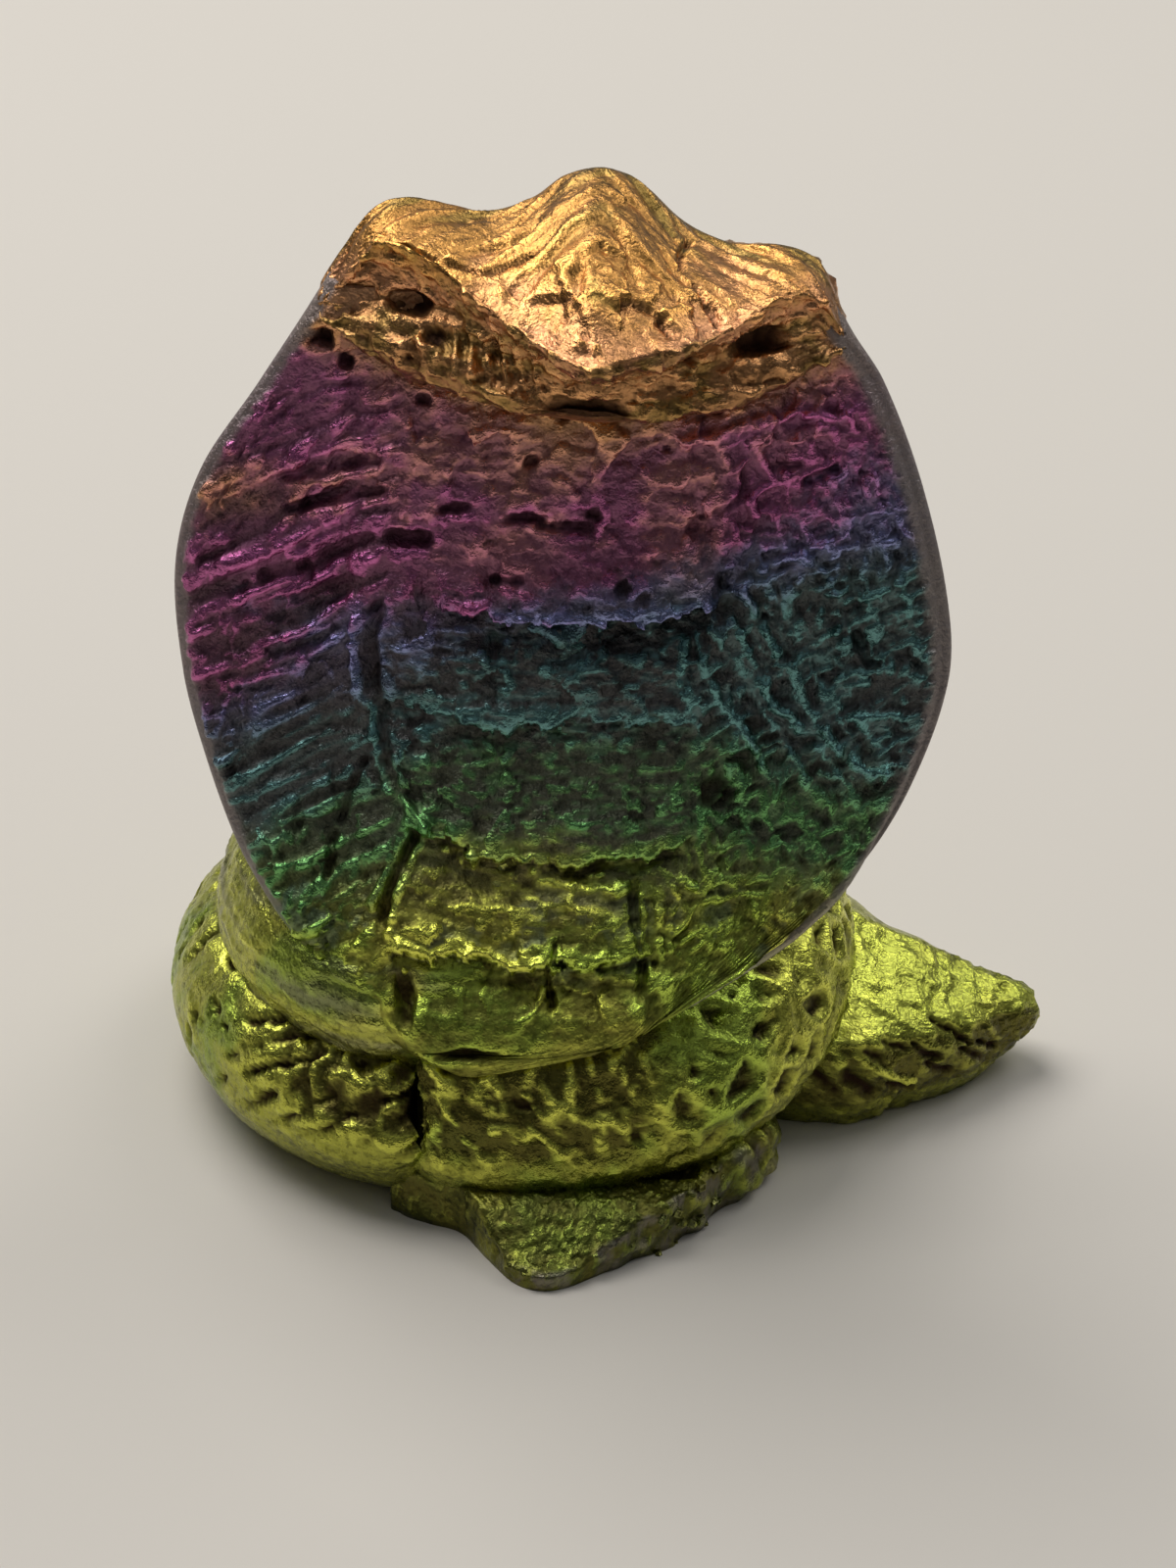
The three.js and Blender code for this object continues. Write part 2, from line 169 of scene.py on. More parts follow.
# The body's centre line: (x, y, z, radius), from the tail's tip up to the head.
LOWER_COIL = [
    (30.4, 2, 3.9, 0.9), (29.8, 1.9, 3.8, 1.6), (28.8, 1.7, 3.6, 2.2), (27.2, 1.4, 3.3, 2.9),
    (24.2, 0.8, 3.1, 4.3), (20.4, 0.7, 3.4, 5.9), (16.4, 1.2, 3.7, 7.4), (12.2, 4.6, 4.9, 6.9),
    (7.5, 9.2, 5.8, 6.2), (2, 12.2, 6, 6.2), (-5, 14.2, 6, 6.2), (-13.5, 11.8, 6, 6.2),
    (-19, 6, 6, 6.2), (-20.4, -1, 6, 6.2), (-18, -8.2, 6, 6.2), (-13.2, -12.8, 6, 6.2),
    (-9.8, -14.3, 6, 5.9), (-8.6, -14.5, 6, 5),
]
MIDDLE_COIL = [
    (-9, -14.4, 6.1, 5.2), (-7.6, -14.6, 6.2, 6.1), (-3, -14.7, 6.3, 6.4), (2.8, -13.4, 6.7, 6.4),
    (8, -9.8, 7.7, 6.4), (11.2, -3, 9.5, 6.4), (10.2, 4, 11, 6.2), (5.5, 9.8, 12, 6),
    (-2.5, 12.2, 12.8, 5.9), (-10.8, 10.4, 13, 5.8), (-16.2, 5, 12.8, 5.7),
]
UPPER_COIL = [
    (-13.4, 8.6, 13, 5.4), (-16.4, 4.4, 13, 5.6), (-17.7, -1.5, 13, 5.5), (-17, -6.2, 13.1, 5.5),
    (-14, -10.4, 13.2, 5.6), (-9.6, -12.2, 13.2, 5.5), (-5.5, -9.8, 16.2, 5.3), (-3.2, -6.6, 22, 5.3),
    (-2.7, -4.4, 29, 5), (-2, -2.2, 38, 4.7), (-1.4, -0.8, 47, 4.4), (-1, -0.2, 52.5, 3.9),
    (-0.9, 0.3, 57, 2.4),
]
TAIL_SPREAD = 0.31  # the tail's base is wider than it is high by this share

# The cast flange at the front: its outline on the table and the middle that its rings close on.
FLANGE_OUTLINE = [
    (-10.8, -17), (-10.4, -18.7), (-8.6, -19.6), (-6.6, -20.4), (-4.9, -22.8), (-3.2, -25),
    (-1.6, -25.7), (0, -25.3), (1.6, -24.2), (3.1, -23.3), (4.3, -22.3), (5.6, -21.6),
    (6.8, -20.2), (8.4, -18.9), (9.6, -16.8), (11.4, -14.6), (12, -11), (4, -9), (-6, -9),
]
FLANGE_MIDDLE = (1.0, -15.5)
FLANGE_TIP = 1.1  # its height at the tip
FLANGE_TOP = 3.5  # its height under the coils
# A bead of metal on the flange, as points (x, y), and its hollow: the middle, the half sizes and the depth.
FLANGE_BEAD = [(-9.5, -18.3), (-6.0, -19.2), (-3.5, -19.8)]
FLANGE_HOLLOWS = [((5.6, -17.6), (2.0, 1.0), 0.6)]
# About how many square millimetres the flange's broken edge has, for the crystals' count.
EDGE_AREA = 60
# The steps into a crystal's faces: the width and the depth of each, as shares of its side.
CRYSTAL_STEPS = ((0.14, 0.10), (0.12, 0.12))
# The domed filling of the coils: its middle, half widths and height.
CORE = {"x": -4.7, "y": 0.0, "across": 14.4, "deep": 12.8, "top": 16.5}

# Colours of the stains on each kind of piece, which on the coils and the head also serve as painted shade, of
# bare metal, and of the skin's marks, among them painted shade for the deep places and the hollows.
COIL_STAIN_AND_SHADE = (0.085, 0.07, 0.018)
LOOP_STAIN = (0.19, 0.18, 0.13)
HOOD_STAIN = (0.50, 0.25, 0.15)
HEAD_STAIN_AND_SHADE = (0.30, 0.20, 0.05)
FOOT_STAIN = (0.085, 0.09, 0.022)
BARE_FOOT = (0.16, 0.13, 0.035, 1)
BARE_GREY = (0.11, 0.125, 0.135, 1)
GREEN_TINT = (0.68, 0.86, 0.8, 1)
DEEP_SHADE = (0.10, 0.06, 0.05, 1)
FLECK_TINT = (0.45, 0.45, 0.45, 1)
EDGE_GREY = (0.30, 0.26, 0.25, 1)
HOLE_SHADE = (0.03, 0.012, 0.008, 1)
CRYSTAL_GREY = 0.35
METAL = 0.92
GRAIN_DEPTH = 0.3

# The stage: the table in metres, the light of the room and the window, and the camera in millimetres.
TABLE_HALF = 2.0
TABLE_ROUGHNESS = 0.75
MOTTLE_SIZE = 0.0012
MOTTLE_SHADE = 0.93
CAMERA_AIM = (0, 0, 20.5)
SENSOR_HEIGHT = 36
ROOM_ABOVE = 0.24
ROOM_BEHIND = 0.19
ROOM_AROUND = 0.03
WINDOW_POWER = 1.0


# What a user would change.

class CastSizes(bpy.types.PropertyGroup):
    """Sizes of the relief on the snake's skin."""

    rib_pitch: FloatProperty(
        name="Rib pitch", description="Distance from one rib of the hood to the next",
        default=0.0019, subtype="DISTANCE", unit="LENGTH")
    rib_height: FloatProperty(
        name="Rib height", description="How far the hood's ribs stand out",
        default=0.00055, subtype="DISTANCE", unit="LENGTH")
    net_pitch: FloatProperty(
        name="Net pitch", description="Width of one mesh of the net on the hood's right wing",
        default=0.0018, subtype="DISTANCE", unit="LENGTH")
    scale_size: FloatProperty(
        name="Scale size", description="Width of one pit between the ridges of the body",
        default=0.0025, subtype="DISTANCE", unit="LENGTH")
    pit_depth: FloatProperty(
        name="Pit depth", description="Depth of the pits between the ridges of the body",
        default=0.0006, subtype="DISTANCE", unit="LENGTH")
    crystals: IntProperty(
        name="Crystals", description="How many small crystals grow on the flange's broken edge",
        default=40, min=0)


class OxideColours(bpy.types.PropertyGroup):
    """Colours of the oxide skin, from the foot to the head."""

    lime: FloatVectorProperty(
        name="Lime", description="Foot and tail", subtype="COLOR", default=(0.50, 0.515, 0.08))
    green: FloatVectorProperty(
        name="Green", description="Lower part of the hood", subtype="COLOR", default=(0.105, 0.25, 0.085))
    teal: FloatVectorProperty(
        name="Teal", description="Middle of the hood", subtype="COLOR", default=(0.075, 0.165, 0.16))
    indigo: FloatVectorProperty(
        name="Indigo", description="Between teal and magenta", subtype="COLOR", default=(0.12, 0.12, 0.24))
    magenta: FloatVectorProperty(
        name="Magenta", description="Upper part of the hood", subtype="COLOR", default=(0.33, 0.09, 0.22))
    copper: FloatVectorProperty(
        name="Copper", description="Under the jaw", subtype="COLOR", default=(0.58, 0.29, 0.12))
    gold: FloatVectorProperty(
        name="Gold", description="Head", subtype="COLOR", default=(0.62, 0.305, 0.08))
    rose: FloatVectorProperty(
        name="Rose", description="Snout", subtype="COLOR", default=(0.66, 0.31, 0.15))
    bare: FloatVectorProperty(
        name="Bare", description="Dull grey-brown metal of the rim and the flats",
        subtype="COLOR", default=(0.118, 0.09, 0.09))


class StageSettings(bpy.types.PropertyGroup):
    """Table, light and camera."""

    table: FloatVectorProperty(
        name="Table", description="Colour of the table top", subtype="COLOR", default=(0.74, 0.70, 0.64))
    key_power: FloatProperty(
        name="Key light", description="Power of the soft light above", default=5.0, unit="POWER")
    lens: FloatProperty(
        name="Lens", description="Focal length of the camera in millimetres", default=75.6)
    distance: FloatProperty(
        name="Camera distance", description="From the camera to the snake's middle",
        default=0.21, subtype="DISTANCE", unit="LENGTH")
    elevation: FloatProperty(
        name="Camera elevation", description="How steeply the camera looks down",
        default=math.radians(30), subtype="ANGLE", unit="ROTATION")
    roll: FloatProperty(
        name="Camera roll", description="How far the camera is turned about its own view",
        default=math.radians(2.5), subtype="ANGLE", unit="ROTATION")


# Node trees: numbers in them are worked out with ordinary arithmetic.

class Field:
    """A number in a node tree; arithmetic on it adds the nodes that work it out."""

    def __init__(self, tree, socket):
        self.tree = tree
        self.socket = socket

    def math(self, operation, *others):
        node = self.tree.nodes.new("ShaderNodeMath")
        node.operation = operation
        for socket, value in zip(node.inputs, (self, *others)):
            feed(self.tree, socket, value)
        return Field(self.tree, node.outputs[0])

    def __add__(self, other):
        return self.math("ADD", other)

    def __sub__(self, other):
        return self.math("SUBTRACT", other)

    def __mul__(self, other):
        return self.math("MULTIPLY", other)

    def __truediv__(self, other):
        return self.math("DIVIDE", other)

    def __rsub__(self, other):
        return self.math("MULTIPLY", -1.0) + other

    def __neg__(self):
        return self.math("MULTIPLY", -1.0)

    def __abs__(self):
        return self.math("ABSOLUTE")

    __radd__ = __add__
    __rmul__ = __mul__

    def least(self, other):
        return self.math("MINIMUM", other)

    def most(self, other):
        return self.math("MAXIMUM", other)

    def smooth(self, low, high):
        """0 at low and 1 at high, also where low is the larger of the two."""
        node = self.tree.nodes.new("ShaderNodeMapRange")
        node.interpolation_type = "SMOOTHSTEP"
        feed(self.tree, node.inputs["Value"], self)
        feed(self.tree, node.inputs["From Min"], low)
        feed(self.tree, node.inputs["From Max"], high)
        return Field(self.tree, node.outputs["Result"])


def feed(tree, socket, value):
    if isinstance(value, Field):
        tree.links.new(value.socket, socket)
    else:
        socket.default_value = value


def combine(tree, x, y, z):
    node = tree.nodes.new("ShaderNodeCombineXYZ")
    for socket, value in zip(node.inputs, (x, y, z)):
        feed(tree, socket, value)
    return Field(tree, node.outputs[0])


def separate(tree, vector):
    node = tree.nodes.new("ShaderNodeSeparateXYZ")
    feed(tree, node.inputs[0], vector)
    return [Field(tree, socket) for socket in node.outputs]


def in_millimetres(tree, vector):
    """The x, y and z of a place in the millimetres of the forms above."""
    return [axis / MM + float(middle) for axis, middle in zip(separate(tree, vector), MIDDLE)]


def one_over(size):
    return size.math("POWER", -1.0) if isinstance(size, Field) else 1 / size


def noise(tree, at, size, detail=3.0, rough=0.55, seed=0.0):
    """A cloud of about -0.5 to 0.5 with lumps of the given size."""
    node = tree.nodes.new("ShaderNodeTexNoise")
    node.noise_dimensions = "4D"
    feed(tree, node.inputs["Vector"], at)
    feed(tree, node.inputs["W"], seed)
    feed(tree, node.inputs["Scale"], one_over(size))
    feed(tree, node.inputs["Detail"], detail)
    feed(tree, node.inputs["Roughness"], rough)
    return Field(tree, node.outputs["Fac"]) - 0.5


def vector_math(tree, operation, first, second, output=0):
    node = tree.nodes.new("ShaderNodeVectorMath")
    node.operation = operation
    feed(tree, node.inputs[0], first)
    feed(tree, node.inputs[1], second)
    return Field(tree, node.outputs[output])


def facets(tree, at, size):
    """Small flat faces, each tilted its own way, as a height in the units of the place."""
    node = tree.nodes.new("ShaderNodeTexVoronoi")
    feed(tree, node.inputs["Vector"], at)
    feed(tree, node.inputs["Scale"], 1 / size)
    away = vector_math(tree, "SUBTRACT", at, Field(tree, node.outputs["Position"]))
    lean = vector_math(tree, "SUBTRACT", Field(tree, node.outputs["Color"]), (0.5, 0.5, 0.5))
    return vector_math(tree, "DOT_PRODUCT", away, lean, "Value")


def crinkled(tree, at, size, seed):
    """A casting's uneven skin: soft lumps with thin raised wrinkles of two sizes, from about -0.2 to 0.3."""
    lumps = noise(tree, at, size, 2.0, 0.5, seed) * 0.9
    wrinkles = abs(noise(tree, at, size * 0.8, 2.0, 0.5, seed + 1)).smooth(0.09, 0.0) * 0.24
    fine = abs(noise(tree, at, size * 0.4, 1.0, 0.5, seed + 2)).smooth(0.12, 0.0) * 0.13
    return lumps + wrinkles + fine


def blend(share, first, second):
    """The first value where the share is 1 and the second where it is 0."""
    return first * share + second * (1 - share)


def ridges(lines):
    """1 on each whole number of the lines' count and 0 halfway between."""
    return abs(lines.math("FRACT") * 2 - 1)


def hollows_over(place, hollows):
    """Hollows with soft walls (middle, half sizes, depth): their height together, and where they are, as a
    mask for painted shade.
    """
    height, inside = 0.0, None
    for middle, radii, depth in hollows:
        away = None
        for axis, at, radius in zip(place, middle, radii):
            term = abs((axis - at) / radius).math("POWER", 3.0)
            away = term if away is None else away + term
        here = away.math("POWER", 1 / 3).smooth(1.25, 0.55)
        height = here * -depth + height
        dark = here * min(depth * 1.5, 1.0)
        inside = dark if inside is None else inside.most(dark)
    return height, inside


def from_line(place, points):
    """How far a place in the plane is from a broken line of points."""
    tree = place.tree
    nearest = None
    for start, stop in zip(points, points[1:]):
        way = Vector((stop[0] - start[0], stop[1] - start[1], 0.0))
        offset = vector_math(tree, "SUBTRACT", place, (start[0], start[1], 0.0))
        share = vector_math(tree, "DOT_PRODUCT", offset, way / way.length_squared, "Value")
        share = share.least(1.0).most(0.0)
        apart = vector_math(tree, "SUBTRACT", offset, vector_scale(tree, way, share))
        away = vector_math(tree, "LENGTH", apart, (0.0, 0.0, 0.0), "Value")
        nearest = away if nearest is None else nearest.least(away)
    return nearest


def stroke(place, points, width, height):
    """A groove, or with a positive height a ridge, along a broken line: its height and its middle."""
    core = from_line(place, points).smooth(width * 1.3, width * 0.2)
    return core * height, core


def strokes_over(place, lines):
    """A set of grooves or ridges: their height together, and where their middles are."""
    height, cores = 0.0, None
    for points, width, rise in lines:
        here, core = stroke(place, points, width, rise)
        height = here + height
        cores = core if cores is None else cores.most(core)
    return height, cores


class Spot:
    """A place on a skin: its millimetres, the marks stored there and two clouds that unsettle its lines."""

    def __init__(self, tree, size, marks=()):
        self.tree = tree
        self.size = size
        self.seed = size["Seed"]
        self.x, self.y, self.z = in_millimetres(tree, position_of(tree))
        self.place = combine(tree, self.x, self.y, self.z)
        self.wander = self.cloud(self.place, 5.0, 0, 2.0)
        self.ragged = self.cloud(self.place, 1.3, 5, 4.0)
        for name in marks:
            setattr(self, name, stored(tree, name))

    def at(self, x, y, z):
        return combine(self.tree, x, y, z)

    def cloud(self, at, size, seed=0, detail=2.0):
        return noise(self.tree, at, size, detail, 0.6, self.seed + seed)

    def patch(self, size, seed, low, high):
        """Soft patches of the given size: 0 where their cloud is at low and 1 where it is at high."""
        return self.cloud(self.place, size, seed).smooth(low, high)

    def crinkled(self, at, size, seed=0):
        return crinkled(self.tree, at, size, self.seed + seed)

    def facets(self, at, size):
        return facets(self.tree, at, size)

    def veins(self, at, size, seed=0, width=0.05):
        """Thin raised lines that wander over a skin: 1 on a line and 0 beside it."""
        return abs(self.cloud(at, size, seed, 1.5)).smooth(width, width * 0.1)

    def cells(self, at, size, feature="DISTANCE_TO_EDGE", output="Distance"):
        """Irregular cells of the given size: the distance to their edges, or another output."""
        node = self.tree.nodes.new("ShaderNodeTexVoronoi")
        node.feature = feature
        feed(self.tree, node.inputs["Vector"], at)
        feed(self.tree, node.inputs["Scale"], one_over(size))
        return Field(self.tree, node.outputs[output])


def node_group(name, kind, inputs, outputs):
    """A node tree with named inputs and outputs, and its two end nodes."""
    tree = bpy.data.node_groups.new(name, kind)
    for label, value in inputs.items():
        is_number = isinstance(value, (int, float))
        number = "NodeSocketInt" if isinstance(value, int) else "NodeSocketFloat"
        socket = tree.interface.new_socket(
            label, in_out="INPUT", socket_type=number if is_number else value)
        if is_number:
            socket.default_value = value
    for label, value in outputs.items():
        tree.interface.new_socket(label, in_out="OUTPUT", socket_type=value)
    return tree, tree.nodes.new("NodeGroupInput"), tree.nodes.new("NodeGroupOutput")


# Geometry Nodes: the steps that every skin goes through.

def geometry_tree(name, sizes):
    """A Geometry Nodes tree, its sizes in millimetres as fields, its geometry and its last node."""
    inputs = {"Geometry": "NodeSocketGeometry", **sizes}
    tree, start, end = node_group(name, "GeometryNodeTree", inputs, {"Geometry": "NodeSocketGeometry"})
    fields = {label: Field(tree, start.outputs[label]) for label in sizes}
    return tree, fields, start.outputs["Geometry"], end


def step(tree, kind, geometry, **values):
    """One more node on the geometry's way."""
    node = tree.nodes.new(kind)
    tree.links.new(geometry, node.inputs[0])
    for label, value in values.items():
        feed(tree, node.inputs[label.replace("_", " ")], value)
    return node.outputs[0]


def store(tree, geometry, name, value, kind="FLOAT"):
    node = tree.nodes.new("GeometryNodeStoreNamedAttribute")
    node.data_type = kind
    node.domain = "POINT"
    tree.links.new(geometry, node.inputs["Geometry"])
    node.inputs["Name"].default_value = name
    feed(tree, node.inputs["Value"], value)
    return node.outputs["Geometry"]


def stored(tree, name, kind="FLOAT"):
    node = tree.nodes.new("GeometryNodeInputNamedAttribute")
    node.data_type = kind
    node.inputs["Name"].default_value = name
    return Field(tree, node.outputs["Attribute"])


def position_of(tree):
    return Field(tree, tree.nodes.new("GeometryNodeInputPosition").outputs[0])


def blurred(tree, value, times, kind="FLOAT"):
    node = tree.nodes.new("GeometryNodeBlurAttribute")
    node.data_type = kind
    feed(tree, node.inputs["Value"], value)
    node.inputs["Iterations"].default_value = times
    return Field(tree, node.outputs["Value"])


def vector_scale(tree, vector, length):
    node = tree.nodes.new("ShaderNodeVectorMath")
    node.operation = "SCALE"
    feed(tree, node.inputs[0], vector)
    feed(tree, node.inputs["Scale"], length)
    return Field(tree, node.outputs[0])


def raise_skin(tree, geometry, end, height, material, marks):
    """Store the marks, raise the skin along its normals, keep it above the table and give it its material."""
    for label, value in marks.items():
        geometry = store(tree, geometry, label, value)
    geometry = store(tree, geometry, "relief", height)
    relief = stored(tree, "relief")
    geometry = store(tree, geometry, "cavity", relief - blurred(tree, relief, CAVITY_BLUR))
    normal = Field(tree, tree.nodes.new("GeometryNodeInputNormal").outputs[0])
    geometry = step(tree, "GeometryNodeSetPosition", geometry, Offset=vector_scale(tree, normal, relief * MM))
    geometry = step(tree, "GeometryNodeSetShadeSmooth", geometry)
    finish_skin(tree, geometry, end, material)


def finish_skin(tree, geometry, end, material):
    """The last steps of every piece: nothing under the table, no instances left, and its material."""
    x, y, z = separate(tree, position_of(tree))
    geometry = step(tree, "GeometryNodeSetPosition", geometry, Position=combine(tree, x, y, z.most(0.0)))
    geometry = step(tree, "GeometryNodeRealizeInstances", geometry)
    geometry = step(tree, "GeometryNodeSetMaterial", geometry, Material=material)
    tree.links.new(geometry, end.inputs["Geometry"])


def settle(piece, tree, values):
    """Give a piece its tree, keep what the tree makes as a plain mesh, and put it on the body."""
    modifier = piece.modifiers.new(tree.name, "NODES")
    modifier.node_group = tree
    for item in tree.interface.items_tree:
        if item.name in values:
            modifier[item.identifier] = values[item.name]
    depsgraph = bpy.context.evaluated_depsgraph_get()
    made = bpy.data.meshes.new_from_object(
        piece.evaluated_get(depsgraph), preserve_all_data_layers=True, depsgraph=depsgraph)
    made.name = piece.name
    name = piece.name
    bpy.data.objects.remove(piece)
    kept = bpy.data.objects.new(name, made)
    bpy.context.collection.objects.link(kept)
    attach(kept, BODY)
    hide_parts(NODE)


# Meshes.

def mesh_piece(name, points, faces, marks):
    """An object of these points in millimetres, with its faces outwards and a number for each point."""
    places = (np.asarray(points) - MIDDLE) * MM
    first, second, third = (places[[face[i] for face in faces]] for i in range(3))
    fourth = places[[face[-1] for face in faces]]
    volume = (first * np.cross(second, third)).sum() + (first * np.cross(third, fourth)).sum()
    if volume < 0:
        faces = [face[::-1] for face in faces]
    mesh = bpy.data.meshes.new(name)
    mesh.from_pydata(places.tolist(), [], faces)
    for label, values in marks.items():
        mesh.attributes.new(label, "FLOAT", "POINT").data.foreach_set("value", np.asarray(values, "f"))
    piece = bpy.data.objects.new(name, mesh)
    bpy.context.collection.objects.link(piece)
    return piece


def loft(name, rings, marks):
    """A closed skin through rings of points (row, around, xyz), with marks of the same shape."""
    rows, around = rings.shape[:2]
    index = np.arange(rows * around).reshape(rows, around)
    near, far = index[:-1], index[1:]
    quads = np.stack([near, np.roll(near, -1, 1), np.roll(far, -1, 1), far], -1).reshape(-1, 4).tolist()
    points = rings.reshape(-1, 3)
    hubs = np.array([rings[0].mean(0), rings[-1].mean(0)])
    foot, top = index[0], index[-1]
    first = np.stack([np.full(around, rows * around), np.roll(foot, -1), foot], -1).tolist()
    last = np.stack([np.full(around, rows * around + 1), top, np.roll(top, -1)], -1).tolist()
    closed = {label: np.r_[np.ravel(value), value[0].mean(), value[-1].mean()]
              for label, value in marks.items()}
    return mesh_piece(name, np.r_[points, hubs], quads + first + last, closed)


def through(points, steps):
    """A closed smooth curve through points (count, ..., 2), with some steps in each span."""
    spans = []
    count = len(points)
    for i in range(count):
        a, b, c, d = (points[(i + k) % count] for k in (-1, 0, 1, 2))
        for k in range(steps[i]):
            t = k / steps[i]
            curve = 2 * b + (c - a) * t + (2 * a - 5 * b + 4 * c - d) * t ** 2
            spans.append((curve + (3 * b - a - 3 * c + d) * t ** 3) / 2)
    return np.array(spans)


# The hood.

class HoodForm:
    """The hood's smooth form: its rows from foot to top, its two edges, and its front and back."""

    def __init__(self):
        self.row = np.arange(HOOD_FOOT, HOOD_TOP + FRONT_PITCH / 2, FRONT_PITCH)[:, None]
        self.middle = hood_middle(self.row)
        self.half = belly_half(self.row)
        self.left, self.right = hood_left(self.row), hood_right(self.row)
        for _ in range(EDGE_ROUNDS):
            self.left = lerp(self.left, hood_left(self.height_at(self.left)), 0.5)
            self.right = lerp(self.right, hood_right(self.height_at(self.right)), 0.5)
        self.turn = np.minimum(RIM_ROUND, 0.4 * (self.right - self.left))

    def height_at(self, x):
        """A row's height at a width: its scute sags in the middle and its wings slope."""
        out = np.abs(x - self.middle)
        slope = np.where(x < self.middle, slope_left(self.row), slope_right(self.row))
        sag = SCUTE_SAG * np.minimum(out / self.half, 1) ** 2
        rise = sag + slope * np.maximum(out - self.half, 0)
        bent = 1 - ease(self.row, SAG_END, HOOD_TOP)
        return np.minimum(self.row + rise * bent, HOOD_TOP + 0.01 * (self.row - HOOD_TOP))

    def depth_at(self, x):
        return hood_front(self.height_at(x)) + HOOD_BOW * ((x - self.middle) / HOOD_HALF) ** 2

    def front_at(self, x):
        out = np.abs(x - self.middle) - self.half
        rim = np.minimum(x - self.left, self.right - x)
        bevel = RIM_BEVEL * (1 - ease(rim, 0, RIM_WIDTH)) ** 2
        drop = WING_DROP * ease(out, 0, 4) * (1 - ease(self.row, WINGS_END, WINGS_END + 4))
        merge = MERGE_DEPTH * (1 - ease(self.height_at(x), 13, 19)) * (1 - ease(x - self.left, 0, 5))
        return self.depth_at(x) + bevel + drop + merge

    def back_at(self, x):
        share = (x - self.middle) / np.maximum(self.right - self.middle, self.middle - self.left)
        return self.depth_at(x) + lerp(SPINE_THICKNESS, RIM_THICKNESS, share ** 2)

    def edge(self, x_edge, sign):
        """The rounded edge at one side, from the front to the back."""
        bend = np.linspace(-90, 90, EDGE_POINTS + 2)[1:-1] * math.pi / 180
        inner = x_edge - sign * self.turn
        x = inner + sign * self.turn * np.cos(bend)[None, :]
        y = lerp(self.front_at(inner), self.back_at(inner), 0.5 + 0.5 * np.sin(bend)[None, :])
        return x, y


def hood_skin():
    """The hood's smooth skin, with marks that say where each point lies on it."""
    form = HoodForm()
    left, right, turn = form.left, form.right, form.turn
    across = int(2 * HOOD_HALF / FRONT_PITCH)
    behind = int(2 * HOOD_HALF / BACK_PITCH)
    x_front = lerp(left + turn, right - turn, np.linspace(0, 1, across)[None, :])
    x_back = lerp(right - turn, left + turn, np.linspace(0, 1, behind)[None, :])
    x_right, y_right = form.edge(right, 1)
    x_left, y_left = form.edge(left, -1)
    x = np.hstack([x_front, x_right, x_back, x_left[:, ::-1]])
    y = np.hstack([form.front_at(x_front), y_right, form.back_at(x_back), y_left[:, ::-1]])
    z = form.height_at(x)
    face = np.r_[np.ones(across), np.zeros(EDGE_POINTS), -np.ones(behind), np.zeros(EDGE_POINTS)]
    marks = {
        "row": np.broadcast_to(form.row, x.shape),
        "out": np.abs(x - form.middle) - form.half,
        "side": np.sign(x - form.middle),
        "rim": np.minimum((x - left) * 1.7 + 4 * (1 - ease(z, 14, 19)), right - x),
        "face": np.broadcast_to(face, x.shape),
    }
    return loft("hood", np.stack([x, y, z], -1), marks)


# Hollows in the hood: middle (x, z), half sizes, depth.
HOOD_HOLLOWS = [
    ((-16.6, 51.8), (0.8, 0.7), 1.3), ((-15.1, 50.5), (0.5, 0.4), 0.8), ((-11.2, 40.8), (1.5, 0.6), 0.9),
    ((-8.3, 42.9), (0.9, 0.3), 0.5), ((-4.3, 42.4), (1.2, 0.35), 0.6), ((-1.6, 41.9), (1.5, 0.35), 0.6),
    ((-5.2, 38.8), (1.2, 0.35), 0.4), ((-10.4, 15.1), (0.7, 1.6), 0.8), ((-6.6, 12.2), (1.9, 0.35), 0.6),
    ((7.7, 26.5), (1.1, 1.0), 0.6),
]
# Grooves in the hood: the points (x, z) of a line, its half width and its height.
HOOD_GROOVES = [
    ([(-12.9, 36.6), (-13.4, 34.4), (-13.0, 32.0)], 0.6, -0.6), ([(-12.7, 31.4), (-12.2, 27.6)], 0.4, -0.4),
    ([(-13.6, 27.3), (-14.7, 23.9)], 0.3, -0.5), ([(-15.0, 22.9), (-15.4, 20.8)], 0.3, -0.45),
    ([(-10.4, 23.6), (-11.4, 21.2), (-12.0, 19.0)], 0.35, -0.5), ([(5.9, 42.1), (7.7, 37.3)], 0.8, -0.7),
    ([(15.7, 35.5), (16.8, 33.6)], 0.35, -0.9), ([(-1.6, 18.2), (-2.0, 17.1), (-1.7, 15.2)], 0.22, -0.6),
    ([(3.1, 21.6), (3.6, 19.2), (3.7, 16.0)], 0.35, -0.5), ([(4.2, 20.9), (4.5, 17.6)], 0.35, -0.45),
    ([(8.5, 45.6), (8.5, 43.9), (6.7, 43.0)], 0.3, -0.4), ([(10.1, 45.4), (11.6, 45.6)], 0.3, -0.45),
    ([(12.1, 44.6), (13.9, 45.5)], 0.3, -0.4), ([(-18.8, 43.4), (-15.9, 44.0), (-13.3, 45.0)], 0.4, -0.5),
    ([(-18.6, 41.4), (-12.9, 43.4)], 0.45, -0.5), ([(-19.8, 37.5), (-17.2, 38.3), (-13.7, 40.6)], 0.4, -0.55),
    ([(-17.9, 36.3), (-14.8, 37.9)], 0.35, -0.4),
]
